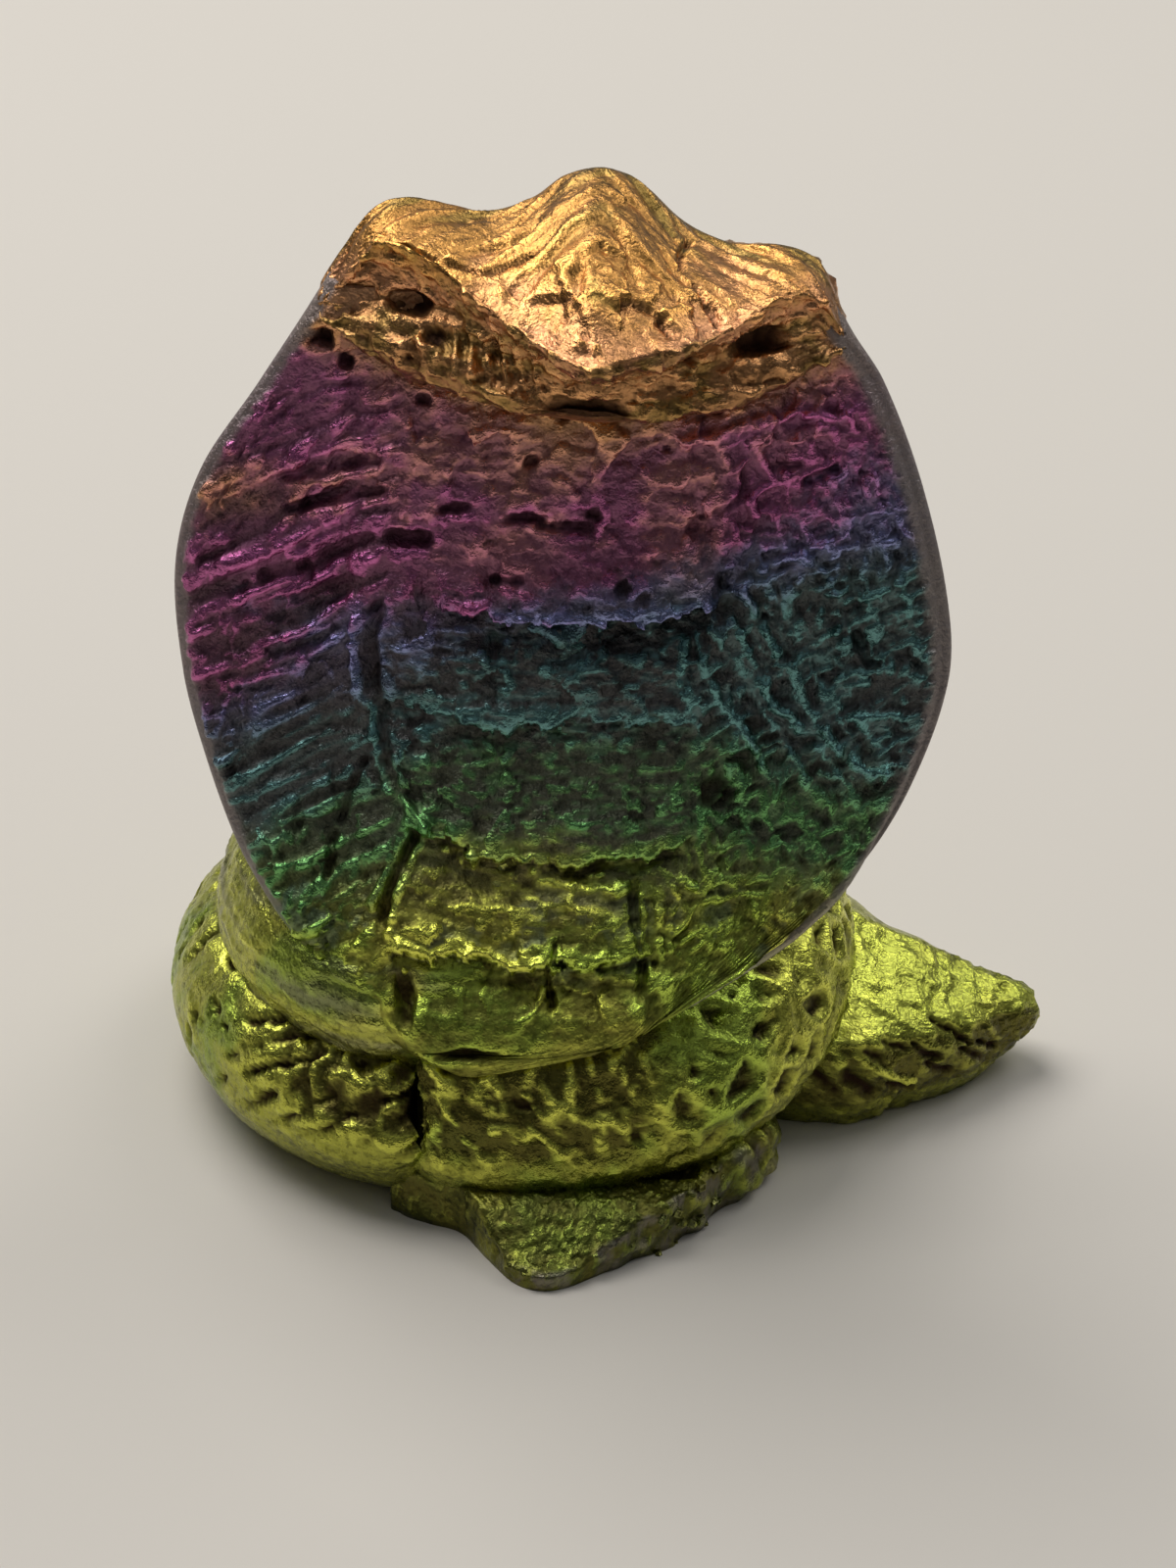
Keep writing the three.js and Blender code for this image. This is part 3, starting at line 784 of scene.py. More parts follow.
# Ridges on the hood, raised and given a painted highlight, listed in the same way.
HOOD_RIDGES = [
    ([(-22.3, 37.6), (-18.6, 39.1), (-15.0, 41.3)], 0.75, 0.4),
    ([(-21.1, 35.9), (-15.9, 38.0), (-12.9, 39.6)], 0.6, 0.4),
    ([(-23.4, 42.1), (-18.0, 43.9)], 0.6, 0.35), ([(-18.0, 44.8), (-12.5, 46.2)], 0.6, 0.3),
    ([(-20.4, 33.1), (-17.2, 34.5), (-14.5, 36.9)], 0.28, 0.3),
    ([(-21.6, 30.8), (-18.2, 32.0), (-14.8, 34.6)], 0.28, 0.3),
    ([(-18.6, 20.8), (-16.5, 21.2), (-14.5, 22.8)], 0.28, 0.3),
    ([(-14.2, 35.6), (-14.0, 31.8), (-12.9, 30.4), (-12.8, 28.0), (-12.0, 26.2), (-9.6, 24.1)], 0.28, 0.35),
    ([(-10.6, 25.2), (-10.9, 23.2), (-12.6, 19.6)], 0.35, 0.4),
    ([(-9.7, 23.9), (-10.8, 21.4), (-11.6, 18.4)], 0.35, 0.4),
    ([(8.4, 38.0), (10.4, 35.4), (12.9, 31.3), (14.3, 29.4)], 0.38, 0.5),
    ([(8.0, 36.6), (9.3, 33.9), (11.1, 31.0), (12.5, 29.9)], 0.32, 0.4),
    ([(5.9, 35.6), (7.3, 31.9), (10.5, 27.6)], 0.26, 0.4), ([(8.1, 31.7), (10.4, 27.9)], 0.24, 0.3),
    ([(5.2, 35.0), (5.5, 33.0), (6.3, 31.2)], 0.4, 0.4), ([(11.6, 33.5), (14.6, 36.0)], 0.32, 0.35),
    ([(12.3, 40.0), (14.1, 38.1), (15.0, 37.5), (19.0, 39.1)], 0.34, 0.4),
    ([(14.1, 30.0), (16.0, 30.7), (18.6, 30.7)], 0.32, 0.4), ([(16.2, 30.2), (18.1, 27.3)], 0.38, 0.4),
    ([(14.1, 29.8), (15.0, 28.3), (17.9, 27.1)], 0.35, 0.4), ([(9.5, 39.3), (13.6, 41.1)], 0.36, 0.35),
    ([(-2.6, 21.6), (0.4, 21.3), (2.4, 21.4)], 0.4, 0.35), ([(6.0, 21.9), (7.2, 20.9)], 0.35, 0.4),
    ([(4.6, 47.0), (9.8, 48.6), (14.2, 48.2)], 0.4, 0.3),
]


def scute_relief(spot, row):
    """The shingled belly: each scute is proudest at its lower edge. Also where those edges and their crumbs
    are, for their painted highlight.
    """
    feet = [HOOD_FOOT - 0.1] + [foot for foot, _, _ in SCUTES] + [HOOD_TOP + 2]
    steps = [(0.3, -20)] + [(height, end) for _, height, end in SCUTES]
    beads = spot.cells(spot.place, 0.8, "F1").smooth(0.46, 0.2) * spot.patch(1.7, 29, -0.08, 0.02)
    total, lip = 0.0, 0.0
    for foot, (height, end), top in zip(feet, steps, feet[1:]):
        reach = spot.x.smooth(end - 1.5, end + 1.5)
        fall = 1 - (row - foot) / (top - foot)
        term = fall.most(0.0) * row.smooth(foot - 0.22, foot + 0.06) * height
        under = row.smooth(foot - 3.2, foot - 0.3) * row.smooth(foot + 0.05, foot - 0.2) * height * -0.7
        edge = row.smooth(foot - 0.2, foot + 0.1) * row.smooth(foot + 1.3, foot + 0.4) * min(height * 1.3, 1)
        crumbs = beads * row.smooth(foot - 0.8, foot - 0.5) * row.smooth(foot + 0.2, foot - 0.1)
        crumbs = crumbs * min(height * 1.3, 1) * row.smooth(26, 24)
        total = (term + under + crumbs * 0.6) * reach + total
        lip = edge.most(crumbs) * reach + lip
    return total, lip


def belly_relief(spot):
    """The belly: shingled scutes, soft lumps with small pits above, and a skin drawn out sideways."""
    sideways = spot.at(spot.x * 0.45, spot.y, spot.z * 1.3)
    upper = spot.z.smooth(36, 39)
    grain = spot.crinkled(sideways, 1.4, 3) * (0.42 - upper * 0.25) + spot.facets(sideways, 1.1) * 0.25
    grain = grain + spot.facets(spot.place, 2.4) * 0.3
    lumps = spot.cloud(spot.at(spot.x * 0.8, spot.y, spot.z), 2.6, 6, 3.0) * 1.1 * upper
    worn = spot.patch(3.0, 16, -0.14, 0.02) * 0.4 + 0.6
    scutes, lip = scute_relief(spot, spot.row + spot.wander * 3.0 + spot.ragged * 2.4)
    threads = spot.veins(sideways, 1.1, 26, 0.1) * spot.patch(2.5, 27, -0.02, 0.1)
    threads = threads * (1 - upper) * spot.z.smooth(21, 25) * 0.7
    tips = spot.cloud(sideways, 0.7, 28, 1.0).smooth(0.02, 0.12) * (1 - upper) * 0.75
    pits = spot.cells(spot.at(spot.x * 0.8, spot.y, spot.z + spot.ragged), 1.7, "F1").smooth(0.3, 0.14)
    pits = pits * upper * spot.patch(3.0, 40, -0.06, 0.06)
    # The second value is a painted highlight: the scutes' lips and crumbs, the threads, the tips and the
    # upper belly outside its pits.
    bright = (lip * worn).most(threads).most(tips).most(upper * 0.45 - pits)
    return scutes * worn + threads * 0.4 + lumps + grain - pits * 0.5, bright, pits


def left_wing_relief(spot):
    """The left wing: broad straight ribs that climb to the right, finer and lower ones beneath."""
    x, z = spot.x, spot.z
    climb = z.smooth(48, 38) * 0.2 + 0.38
    level = z - (x + 12) * climb
    lines = level / spot.size["Rib pitch"] + spot.wander * 0.8 + spot.ragged * 0.25
    broad = ridges(lines).smooth(0.1, 0.45)
    slanted = z - x * 0.58 + spot.wander * 1.0 + spot.ragged * 0.3
    fine = spot.veins(spot.at((x * 0.86 + z * 0.5) * 0.1, 0.0, slanted * 0.9), 1.5, 25, 0.14)
    low = (z - (x + 12) * 0.25).smooth(38.4, 36.2)
    along_ribs = spot.at((x + z * 0.45) * 0.3, spot.y, level * 0.9)
    broken = spot.cloud(along_ribs, 1.7, 7).smooth(-0.12, 0.06) * 0.8 + 0.2
    fine = fine * spot.cloud(along_ribs, 1.9, 19).smooth(-0.12, 0.02)
    line = blend(low, fine * 0.6, broad * 0.6) * broken
    ribs = (line - (1 - low) * 0.5) * spot.size["Rib height"] * 1.2
    crossing = ridges((x * 0.8 - z * 0.6) / 2.3 + spot.wander * 2 + spot.ragged * 0.7)
    crossing = crossing.smooth(0.75, 1.0) * -0.3 * spot.patch(2.0, 17, 0.0, 0.1)
    small_net = spot.cells(spot.at(x + spot.ragged, spot.y, z + spot.ragged * 0.5), 1.3).smooth(0.16, 0.0)
    small_net = small_net * spot.rim.smooth(8.0, 3.5) * spot.patch(3.0, 18, -0.05, 0.08)
    grain = spot.crinkled(along_ribs, 1.3, 3) * 0.28 + spot.facets(spot.place, 2.0) * 0.3
    # The second value marks the ribs and the small net for a painted highlight.
    return ribs + crossing + small_net * 0.35 + grain, line.most(small_net * 0.4)


def right_wing_relief(spot):
    """The right wing: straight ridges that run steeply down, crossed by ones that climb to the right."""
    x, z = spot.x + spot.ragged * 0.9, spot.z + spot.ragged * 0.9
    pitch = spot.size["Net pitch"]
    aside, down = x * 0.85 + z * 0.53, z * 0.85 - x * 0.53
    steep = ridges(aside / pitch + spot.wander * 2.4).smooth(0.5, 0.95)
    steep = steep * spot.cloud(spot.at(aside * 0.7, 0.0, down * 0.3), 1.5, 14).smooth(-0.1, 0.06)
    raised, level = z * 0.93 - x * 0.36, x * 0.93 + z * 0.36
    rising = ridges(raised / pitch + spot.wander * 2.6).smooth(0.5, 0.95)
    rising = rising * spot.cloud(spot.at(level * 0.35, 5.0, raised * 0.7), 1.5, 15).smooth(-0.06, 0.08)
    falling = ridges((z * 0.9 + x * 0.44) / (pitch * 1.3) + spot.wander * 2.2).smooth(0.6, 0.97)
    falling = falling * spot.patch(1.8, 16, 0.0, 0.12) * 0.8
    down_fibres = spot.veins(spot.at(aside * 1.4, 3.0, down * 0.45), 1.1, 32, 0.17)
    up_fibres = spot.veins(spot.at(level * 0.45, 4.0, raised * 1.4), 1.1, 33, 0.17)
    fibres = blend(spot.patch(2.4, 34, -0.06, 0.06), down_fibres, up_fibres)
    net = steep.most(rising).most(falling) * 0.85
    net = net.most(fibres * (spot.patch(1.6, 35, -0.1, 0.08) * 0.75 + 0.1))
    chips = spot.facets(spot.place, 0.9) * spot.patch(1.6, 31, 0.06, 0.16)
    grain = spot.crinkled(spot.at(x, spot.y, z), 1.5, 3) * 0.25 + spot.facets(spot.place, 1.8) * 0.35
    # The second value marks the net for a painted highlight.
    return net * spot.size["Rib height"] + chips * 0.9 + grain - 0.15, net


def hood_tree(material):
    """The hood's relief: scutes, grooves, the ribs of its left wing and the net of its right wing."""
    tree, size, geometry, end = geometry_tree("Hood relief", {
        "Rib pitch": 1.9, "Rib height": 0.55, "Net pitch": 1.8, "Seed": 3.0})
    spot = Spot(tree, size, ("row", "out", "side", "rim", "face"))
    x, z = spot.x, spot.z
    belly = (spot.out + spot.wander * 3.0).smooth(0.9, -0.5)
    at_left = spot.side.smooth(0.5, -0.5)
    left, left_line = left_wing_relief(spot)
    right, right_line = right_wing_relief(spot)
    middle, middle_line, pits = belly_relief(spot)
    upper = z.smooth(51.5, 47.5) * 0.6 + 0.4
    plain = z.smooth(13.0, 16.5) * 0.8 + 0.2
    front = (middle * belly + blend(at_left, left, right) * (1 - belly) * upper) * plain
    line = (middle_line * belly + blend(at_left, left_line, right_line) * (1 - belly) * upper) * plain
    unsettled = (x + spot.ragged * 0.8 + spot.wander * 1.2, z + spot.ragged * 0.8 + spot.wander)
    plane = spot.at(*unsettled, 0.0)
    uneven = spot.patch(1.5, 23, -0.2, 0.0) * 0.6 + 0.4
    grooves, cut = strokes_over(plane, HOOD_GROOVES)
    raised, cores = strokes_over(plane, HOOD_RIDGES)
    front = front + (grooves + raised) * uneven
    # The line mark is a painted highlight: on the ribs, the net, the scutes' lips and the ridges, and broadly
    # over the upper hood, stronger at the right.
    line = line.most(cores * uneven).most((z + x * 0.1).smooth(40, 45) * (x.smooth(4, 14) * 0.25 + 0.38))
    line = line * spot.rim.smooth(0.6, 1.6) * spot.face.smooth(0.4, 0.9)
    hollows, holes = hollows_over(unsettled, HOOD_HOLLOWS)
    low_edge = (spot.rim + spot.ragged).smooth(1.3, 0.8) * z.smooth(24, 20) * x.smooth(0, 3) * 0.5
    front = (front + hollows) * spot.rim.smooth(0.6, 1.6) + low_edge
    broken = spot.patch(0.9, 36, -0.15, 0.1) * 0.4 + 0.4
    # The hole mark is painted shade in the hollows, the grooves and the belly's pits.
    holes = holes.most(cut * 0.4).most(pits * belly) * broken
    edge = (spot.rim + spot.ragged * 0.8).smooth(1.6, 0.9) * (x.smooth(0, 3) + z.smooth(17, 20)).least(1.0)

    diamond = ridges((x + z) / 2.9 + spot.wander * 0.5).most(ridges((x - z) / 2.9 + spot.wander * 0.5))
    crust = spot.crinkled(spot.place, 1.8, 9)
    back = (diamond.smooth(0.5, 1.0) * 0.45 + crust * 0.5) * spot.rim.smooth(0.4, 2.0)
    height = front * spot.face.smooth(0.4, 0.9) + back * spot.face.smooth(-0.4, -0.9)
    blotches = spot.cloud(spot.at(x * 0.7, spot.y, z), 3.6, 24, 4.0)
    stain_and_shading = belly * z.smooth(37.5, 39.5) * z.smooth(48.5, 46.5) * blotches.smooth(-0.1, 0.04)
    stain_and_shading = stain_and_shading + (1 - belly) * z.smooth(40, 44) * blotches.smooth(0.02, 0.12) * 0.7
    raise_skin(tree, geometry, end, height, material, {
        "stain_and_shading": stain_and_shading * (1 - line * z.smooth(44, 38)), "line": line,
        "hole_shade": holes * spot.face.most(0.0), "edge": edge})
    return tree


# The head.

def head_skin():
    """The head's smooth skin: slices across its width, each from low behind over the crest to the chin."""
    x = np.arange(HEAD["left"], HEAD["right"] + FRONT_PITCH / 2, FRONT_PITCH)
    share = np.abs(x - HEAD["middle"]) / HEAD["half"]
    back = 3.2 - 3.7 * share ** 2
    crest, front, edge = crest_height(x), wedge_front(x), wedge_height(x)
    lip, low = lip_front(x), lip_height(x)
    arch = lerp(1.5, 0.2, np.minimum(share * 1.5, 1))
    hollow = 1 - share ** 3
    rise = np.linspace(0, 1, 7)
    top = [(lerp(back - 0.6, front, t), lerp(crest, edge, t) + arch * 4 * t * (1 - t)) for t in rise]
    behind = [
        (-1.2 + 0 * x, low + 0.6),
        (lerp(back, -1, 0.5), lerp(low, crest, 0.3)),
        (back, lerp(low, crest, 0.7)),
    ]
    jaw = [
        (front + 0.35 * hollow, lerp(low, edge, 0.9)),
        (lerp(front, lip, 0.35) + 1.3 * hollow, lerp(low, edge, 0.72)),
        (lerp(front, lip, 0.6) + 1.3 * hollow, lerp(low, edge, 0.5)),
        (lip, lerp(low, edge, 0.28)),
        (lip - 0.35, lerp(low, edge, 0.1)),
        (lip + 0.2, low),
        (lip + 2.4, low - 0.4),
    ]
    points = np.array(behind + top + jaw)
    steps = [3, 3, 4] + [11] * 6 + [4] + [8] * 6 + [4]
    ring = through(points, steps)
    slices = np.stack([np.broadcast_to(x, ring[:, 0].shape), ring[:, 0], ring[:, 1]], -1).transpose(1, 0, 2)
    on_top = np.zeros(len(ring))
    on_top[sum(steps[:3]):sum(steps[:9])] = 1
    reach = np.zeros(len(ring))
    reach[sum(steps[:3]):sum(steps[:9])] = np.linspace(0, 1, sum(steps[3:9]))
    shape = slices.shape[:2]
    marks = {"top": np.broadcast_to(on_top, shape), "reach": np.broadcast_to(reach, shape)}
    return loft("head", slices, marks)


# Hollows in the head: middle, half sizes, depth.
HEAD_HOLLOWS = [
    ((-11.6, -5.8, 54.6), (1.5, 2.0, 0.7), 1.0), ((-9.9, -7.0, 53.2), (0.6, 2.0, 0.45), 0.7),
    ((8.9, -6.6, 53.8), (1.6, 2.0, 0.8), 1.0), ((-1.1, -9.6, 50.2), (2.7, 2.2, 1.0), 0.9),
    ((-13.2, -5.2, 55.6), (0.6, 1.2, 0.7), 0.6), ((4.6, -9.4, 53.4), (0.8, 1.5, 0.4), 0.6),
    ((0.6, -6.4, 58.4), (0.6, 0.3, 1.5), 0.2), ((-0.6, -8.0, 57.6), (0.5, 0.3, 1.5), 0.15),
]
# Cracks and steps in the top of the head: the points (x, y) of a line, its half width and its height.
HEAD_STROKES = [
    ([(4.6, -0.6), (4.0, -3.0), (4.0, -4.8)], 0.25, -0.55),
    ([(4.9, -5.8), (5.8, -7.4), (6.6, -8.8)], 0.3, -0.5),
    ([(-12.5, -4.2), (-9.6, -5.6), (-7.0, -6.2), (-4.6, -5.2)], 0.22, -0.4),
    ([(0.0, -8.4), (1.6, -9.4), (2.6, -9.6), (3.4, -11.0)], 0.16, -0.35),
    ([(-2.6, -10.8), (-0.6, -10.0), (1.8, -11.2)], 0.16, -0.25),
    ([(-4.4, -9.0), (-3.0, -9.3), (-2.4, -8.6)], 0.16, -0.25),
    ([(-0.4, -2.6), (0.8, -5.0), (1.6, -8.2)], 0.3, -0.25), ([(-2.0, -4.2), (-4.6, -8.0)], 0.35, -0.22),
    ([(-4.8, -2.8), (-8.4, -4.6)], 0.3, -0.2), ([(-1.6, -6.8), (-1.8, -9.6)], 0.3, -0.2),
]
# The jaw's lip line, seen from the front: the points (x, z) of a low ridge.
LIP_LINE = [(-12.2, 50.6), (-8.8, 49.9), (-5.4, 49.2), (-3.6, 48.9)]


def head_tree(material):
    """The head's relief: long flat streaks down both flanks, plates at the snout, and an uneven jaw."""
    tree, size, geometry, end = geometry_tree("Head relief", {
        "Ruck height": 0.34, "Ruck pitch": 1.9, "Seed": 11.0})
    spot = Spot(tree, size, ("top", "reach"))
    x, y, z = spot.x, spot.y, spot.z

    flank = abs(x + 0.6)
    across = flank * -0.69 - y * 0.72
    along = flank * 0.72 - y * 0.69
    ruck = ridges(across / size["Ruck pitch"] + spot.wander * 1.6 + along * 0.03).smooth(0.0, 1.0) - 0.5
    long_way = spot.at(across, along * 0.2, side_of(x))
    swell = spot.cloud(long_way, 2.4, 3).smooth(-0.12, 0.12)
    flow = ruck * size["Ruck height"] * swell * 0.8 + spot.crinkled(long_way, 1.5, 2) * 0.4
    flow = flow + spot.facets(long_way, 1.6) * 0.3

    plate_place = spot.at(x * 1.1 + spot.ragged * 1.4, y * 0.8 + spot.wander * 4.0, 0.0)
    plate = spot.cells(plate_place, 3.4, "F1", "Color") * 0.5 - 0.2
    snout = y.smooth(-5.0, -9.0)
    over = flow * (1 - snout * 0.75) + plate * snout + spot.facets(spot.place, 2.2) * 0.45 * snout
    over = over + strokes_over(spot.at(x + spot.ragged * 0.8, y + spot.ragged * 0.8, 0.0), HEAD_STROKES)[0]
    over = over * spot.reach.smooth(0.0, 0.12)

    teeth = ridges(x / 0.95 + spot.wander * 1.2).smooth(0.4, 0.95)
    teeth = teeth * z.smooth(54.6, 53.6) * z.smooth(51.0, 52.0)
    teeth = teeth * x.smooth(-2.5, -3.5) * x.smooth(-10.5, -9.0) * 0.3
    level = spot.at(x * 0.6, y, z * 1.1)
    rough = spot.crinkled(level, 2.2, 8) * 0.9 + spot.facets(level, 1.6) * 0.4 + teeth
    rough = rough + stroke(spot.at(x, z + spot.wander * 0.5, 0.0), LIP_LINE, 0.4, 0.3)[0]
    # The second value is painted shade for the hollows.
    hollows, holes = hollows_over((x + spot.ragged * 0.6, y, z + spot.ragged * 0.6), HEAD_HOLLOWS)
    height = over * spot.top + rough * (1 - spot.top) * z.smooth(49.4, 50.4) + hollows
    strokes = spot.cloud(spot.at(across * 1.1, along * 0.13, side_of(x)), 1.5, 21, 4.0)
    strokes = blend(snout, spot.cloud(spot.at(x, y * 0.6, 0.0), 1.8, 23, 4.0) + 0.04, strokes)
    # Darker towards the crest, where the top turns away from the light: painted shade, over the head's own
    # streaks.
    on_top = (strokes + (0.14 - spot.reach) * 0.22).smooth(-0.03, 0.1)
    on_jaw = spot.cloud(level, 1.8, 22, 4.0).smooth(-0.04, 0.08) * 0.8
    raise_skin(tree, geometry, end, height, material, {
        "stain_and_shading": blend(spot.top, on_top, on_jaw), "hole_shade": holes})
    return tree


def side_of(x):
    """A number that gives the left and the right half of the head a pattern of their own."""
    return x.math("SIGN") * 10


# The coils.

def centre_line(name, stations):
    """The body's centre line as a curve whose radius is the body's."""
    curve = bpy.data.curves.new(name, "CURVE")
    curve.dimensions = "3D"
    spline = curve.splines.new("BEZIER")
    spline.bezier_points.add(len(stations) - 1)
    spline.resolution_u = CURVE_STEPS
    for point, (x, y, z, radius) in zip(spline.bezier_points, stations):
        point.co = Vector((np.array([x, y, z]) - MIDDLE) * MM)
        point.handle_left_type = point.handle_right_type = "AUTO"
        point.radius = radius
    line = bpy.data.objects.new(name, curve)
    bpy.context.collection.objects.link(line)
    return line


def sweep(tree, geometry, around):
    """The body as a tube along its centre line, with the distance along it stored on its skin."""
    resample = tree.nodes.new("GeometryNodeResampleCurve")
    resample.mode = "LENGTH"
    tree.links.new(geometry, resample.inputs["Curve"])
    resample.inputs["Length"].default_value = COIL_PITCH * MM
    geometry = resample.outputs[0]
    parameter = tree.nodes.new("GeometryNodeSplineParameter")
    geometry = store(tree, geometry, "along", Field(tree, parameter.outputs["Length"]) / MM)
    geometry = store(tree, geometry, "middle", position_of(tree), "FLOAT_VECTOR")
    radius = tree.nodes.new("GeometryNodeInputRadius")
    geometry = store(tree, geometry, "thick", Field(tree, radius.outputs[0]))
    circle = tree.nodes.new("GeometryNodeCurvePrimitiveCircle")
    circle.inputs["Resolution"].default_value = around
    circle.inputs["Radius"].default_value = MM
    tube = tree.nodes.new("GeometryNodeCurveToMesh")
    tree.links.new(geometry, tube.inputs["Curve"])
    tree.links.new(circle.outputs["Curve"], tube.inputs["Profile Curve"])
    tree.links.new(radius.outputs[0], tube.inputs["Scale"])
    tube.inputs["Fill Caps"].default_value = True
    return tube.outputs["Mesh"]


def ease_bend(tree, geometry, spread, away, along):
    """Even out the skin inside the tail's bend, where the rings of the tube crowd each other."""
    even = blurred(tree, position_of(tree), BEND_BLUR, "FLOAT_VECTOR")
    move = vector_math(tree, "SUBTRACT", even, position_of(tree))
    inside = (separate(tree, away)[1] / MM / stored(tree, "thick")).smooth(-0.4, 0.3)
    crowded = inside * along.smooth(7, 12) * along.smooth(32, 25) * (spread * 4).least(1.0)
    return step(tree, "GeometryNodeSetPosition", geometry, Offset=vector_scale(tree, move, crowded))


def coil_tree(name, material, relief):
    """A stretch of the body: the tube along its centre line, raised by a relief of its own."""
    tree, size, geometry, end = geometry_tree(name, {
        "Scale size": 2.5, "Pit depth": 0.6, "Spread": 0.0, "Seed": 21.0})
    geometry = sweep(tree, geometry, COIL_POINTS)
    along = stored(tree, "along")
    away = vector_math(tree, "SUBTRACT", position_of(tree), stored(tree, "middle", "FLOAT_VECTOR"))
    level = vector_math(tree, "MULTIPLY", away, (1.0, 1.0, 0.0))
    inside_bend = (separate(tree, away)[1] / MM / stored(tree, "thick")).smooth(0.0, 0.6)
    share = along.smooth(2, 13) * along.smooth(27, 16) * (1 - inside_bend * along.smooth(5, 12))
    wider = vector_scale(tree, level, share * size["Spread"])
    geometry = step(tree, "GeometryNodeSetPosition", geometry, Offset=wider)
    geometry = ease_bend(tree, geometry, size["Spread"], away, along)
    spot = Spot(tree, size, ("along", "thick"))
    middle = in_millimetres(tree, stored(tree, "middle", "FLOAT_VECTOR"))
    spot.up = (spot.z - middle[2]) / spot.thick
    spot.front = (middle[1] - spot.y) / spot.thick
    outward = vector_math(tree, "LENGTH", level, (0.0, 0.0, 0.0), "Value")
    spot.over = spot.up.math("ARCTAN2", outward / MM / spot.thick) * spot.thick
    height, stain_and_shading, line, hole_shade = relief(spot)
    raise_skin(tree, geometry, end, height, material, {"stain_and_shading": stain_and_shading, "line": line, "hole_shade": hole_shade})
    return tree


def net_of_pits(spot):
    """Soft pits between rounded ridges at the right, thin slanted ridges over a recess in front."""
    x, y, z = spot.x, spot.y, spot.z
    bent = spot.at(x + spot.ragged * 0.5 + spot.wander, y + spot.ragged * 0.5, z * 1.1 - spot.ragged * 0.5)
    at_right = x.smooth(3, 8) * spot.up.smooth(-0.75, -0.35)
    in_front = x.smooth(7, 3) * spot.up.smooth(-0.35, 0.1) * y.smooth(3, -3)
    patchy = spot.patch(2.6, 2, -0.12, 0.06)
    pit = (spot.cells(bent, spot.size["Scale size"]) + spot.ragged * 0.25).smooth(0.12, 0.3)
    pit = pit * at_right * (patchy * 0.7 + 0.3)
    leaning = x * 0.8 + z * 0.6 + spot.ragged
    rising = x * 0.75 - z * 0.66 + spot.ragged
    folds = spot.veins(spot.at(leaning * 1.1, 0.0, (z - x) * 0.2), 1.5, 8, 0.07)
    folds = folds * spot.patch(2.2, 30, -0.08, 0.04)
    cross = spot.veins(spot.at(rising * 1.1, 4.0, (z + x) * 0.2), 1.5, 31, 0.07)
    folds = folds.most(cross * spot.patch(2.2, 32, 0.0, 0.1)) * in_front
    holes = spot.cells(spot.at(leaning, y, z), 2.2, "F1").smooth(0.3, 0.14) * in_front
    holes = holes * spot.patch(2.5, 33, -0.02, 0.06)
    flow = spot.at(x * 0.7, y * 0.7, z)
    low = spot.up.smooth(-0.2, -0.7)
    skin = spot.crinkled(flow, 2.4, 4) * 0.26 + spot.facets(flow, 1.8) * 0.12
    net = spot.cells(bent, spot.size["Scale size"]).smooth(0.12, 0.0) * at_right * patchy
    # Painted shade over the recess in front and in the pits, lighter folds and net as painted highlights, and
    # a lighter underside as a painted reflection of the table, over the metal's own blotches.
    stain_and_shading = in_front * 0.9 + pit * 0.9 - net * 0.6 + spot.cloud(flow, 2.4, 9, 4.0) * 2.0
    stain_and_shading = (stain_and_shading - folds * 1.5 - low).smooth(0.25, 0.8)
    recess = in_front * spot.up.smooth(0.9, 0.5) * -0.8 - holes * 0.4
    height = folds * 0.35 + net * 0.15 + recess - pit * spot.size["Pit depth"] + skin
    # The hole mark is painted shade in the holes and the pits; the line mark is a painted highlight on the
    # folds and the net.
    dark = spot.patch(1.2, 34, -0.1, 0.1) * 0.45
    return height, stain_and_shading, (folds * 0.8).most(net * 0.3), (holes * 0.8).most(pit.smooth(0.4, 1.0) * dark)


# Gouges, with painted shade, and crests, with a painted highlight, on the tail's flank: the points (x, z) of
# a line, its half width and its height.
TAIL_CUTS = [
    ([(14.4, 8.5), (16.8, 8.3)], 0.3, -0.7), ([(22.9, 6.4), (24.0, 5.4)], 0.17, -0.4),
    ([(24.0, 5.6), (25.6, 4.2)], 0.2, -0.45), ([(25.0, 4.0), (26.6, 2.6)], 0.2, -0.4),
    ([(26.2, 4.0), (27.6, 2.9)], 0.17, -0.4), ([(21.6, 5.3), (23.4, 4.0)], 0.2, -0.45),
    ([(22.6, 3.9), (24.4, 2.6)], 0.2, -0.4), ([(18.0, 6.0), (19.4, 5.3)], 0.2, -0.4),
    ([(19.4, 6.2), (21.0, 5.4)], 0.2, -0.4), ([(17.2, 4.6), (19.0, 3.0)], 0.45, -0.5),
    ([(15.0, 5.0), (16.6, 3.4)], 0.4, -0.5), ([(20.0, 3.2), (21.6, 2.4)], 0.25, -0.4),
]
TAIL_CRESTS = [
    ([(17.9, 6.3), (18.4, 5.2), (20.1, 3.8), (21.6, 3.0)], 0.24, 0.5),
    ([(16.2, 6.4), (17.0, 5.2)], 0.3, 0.4),
]


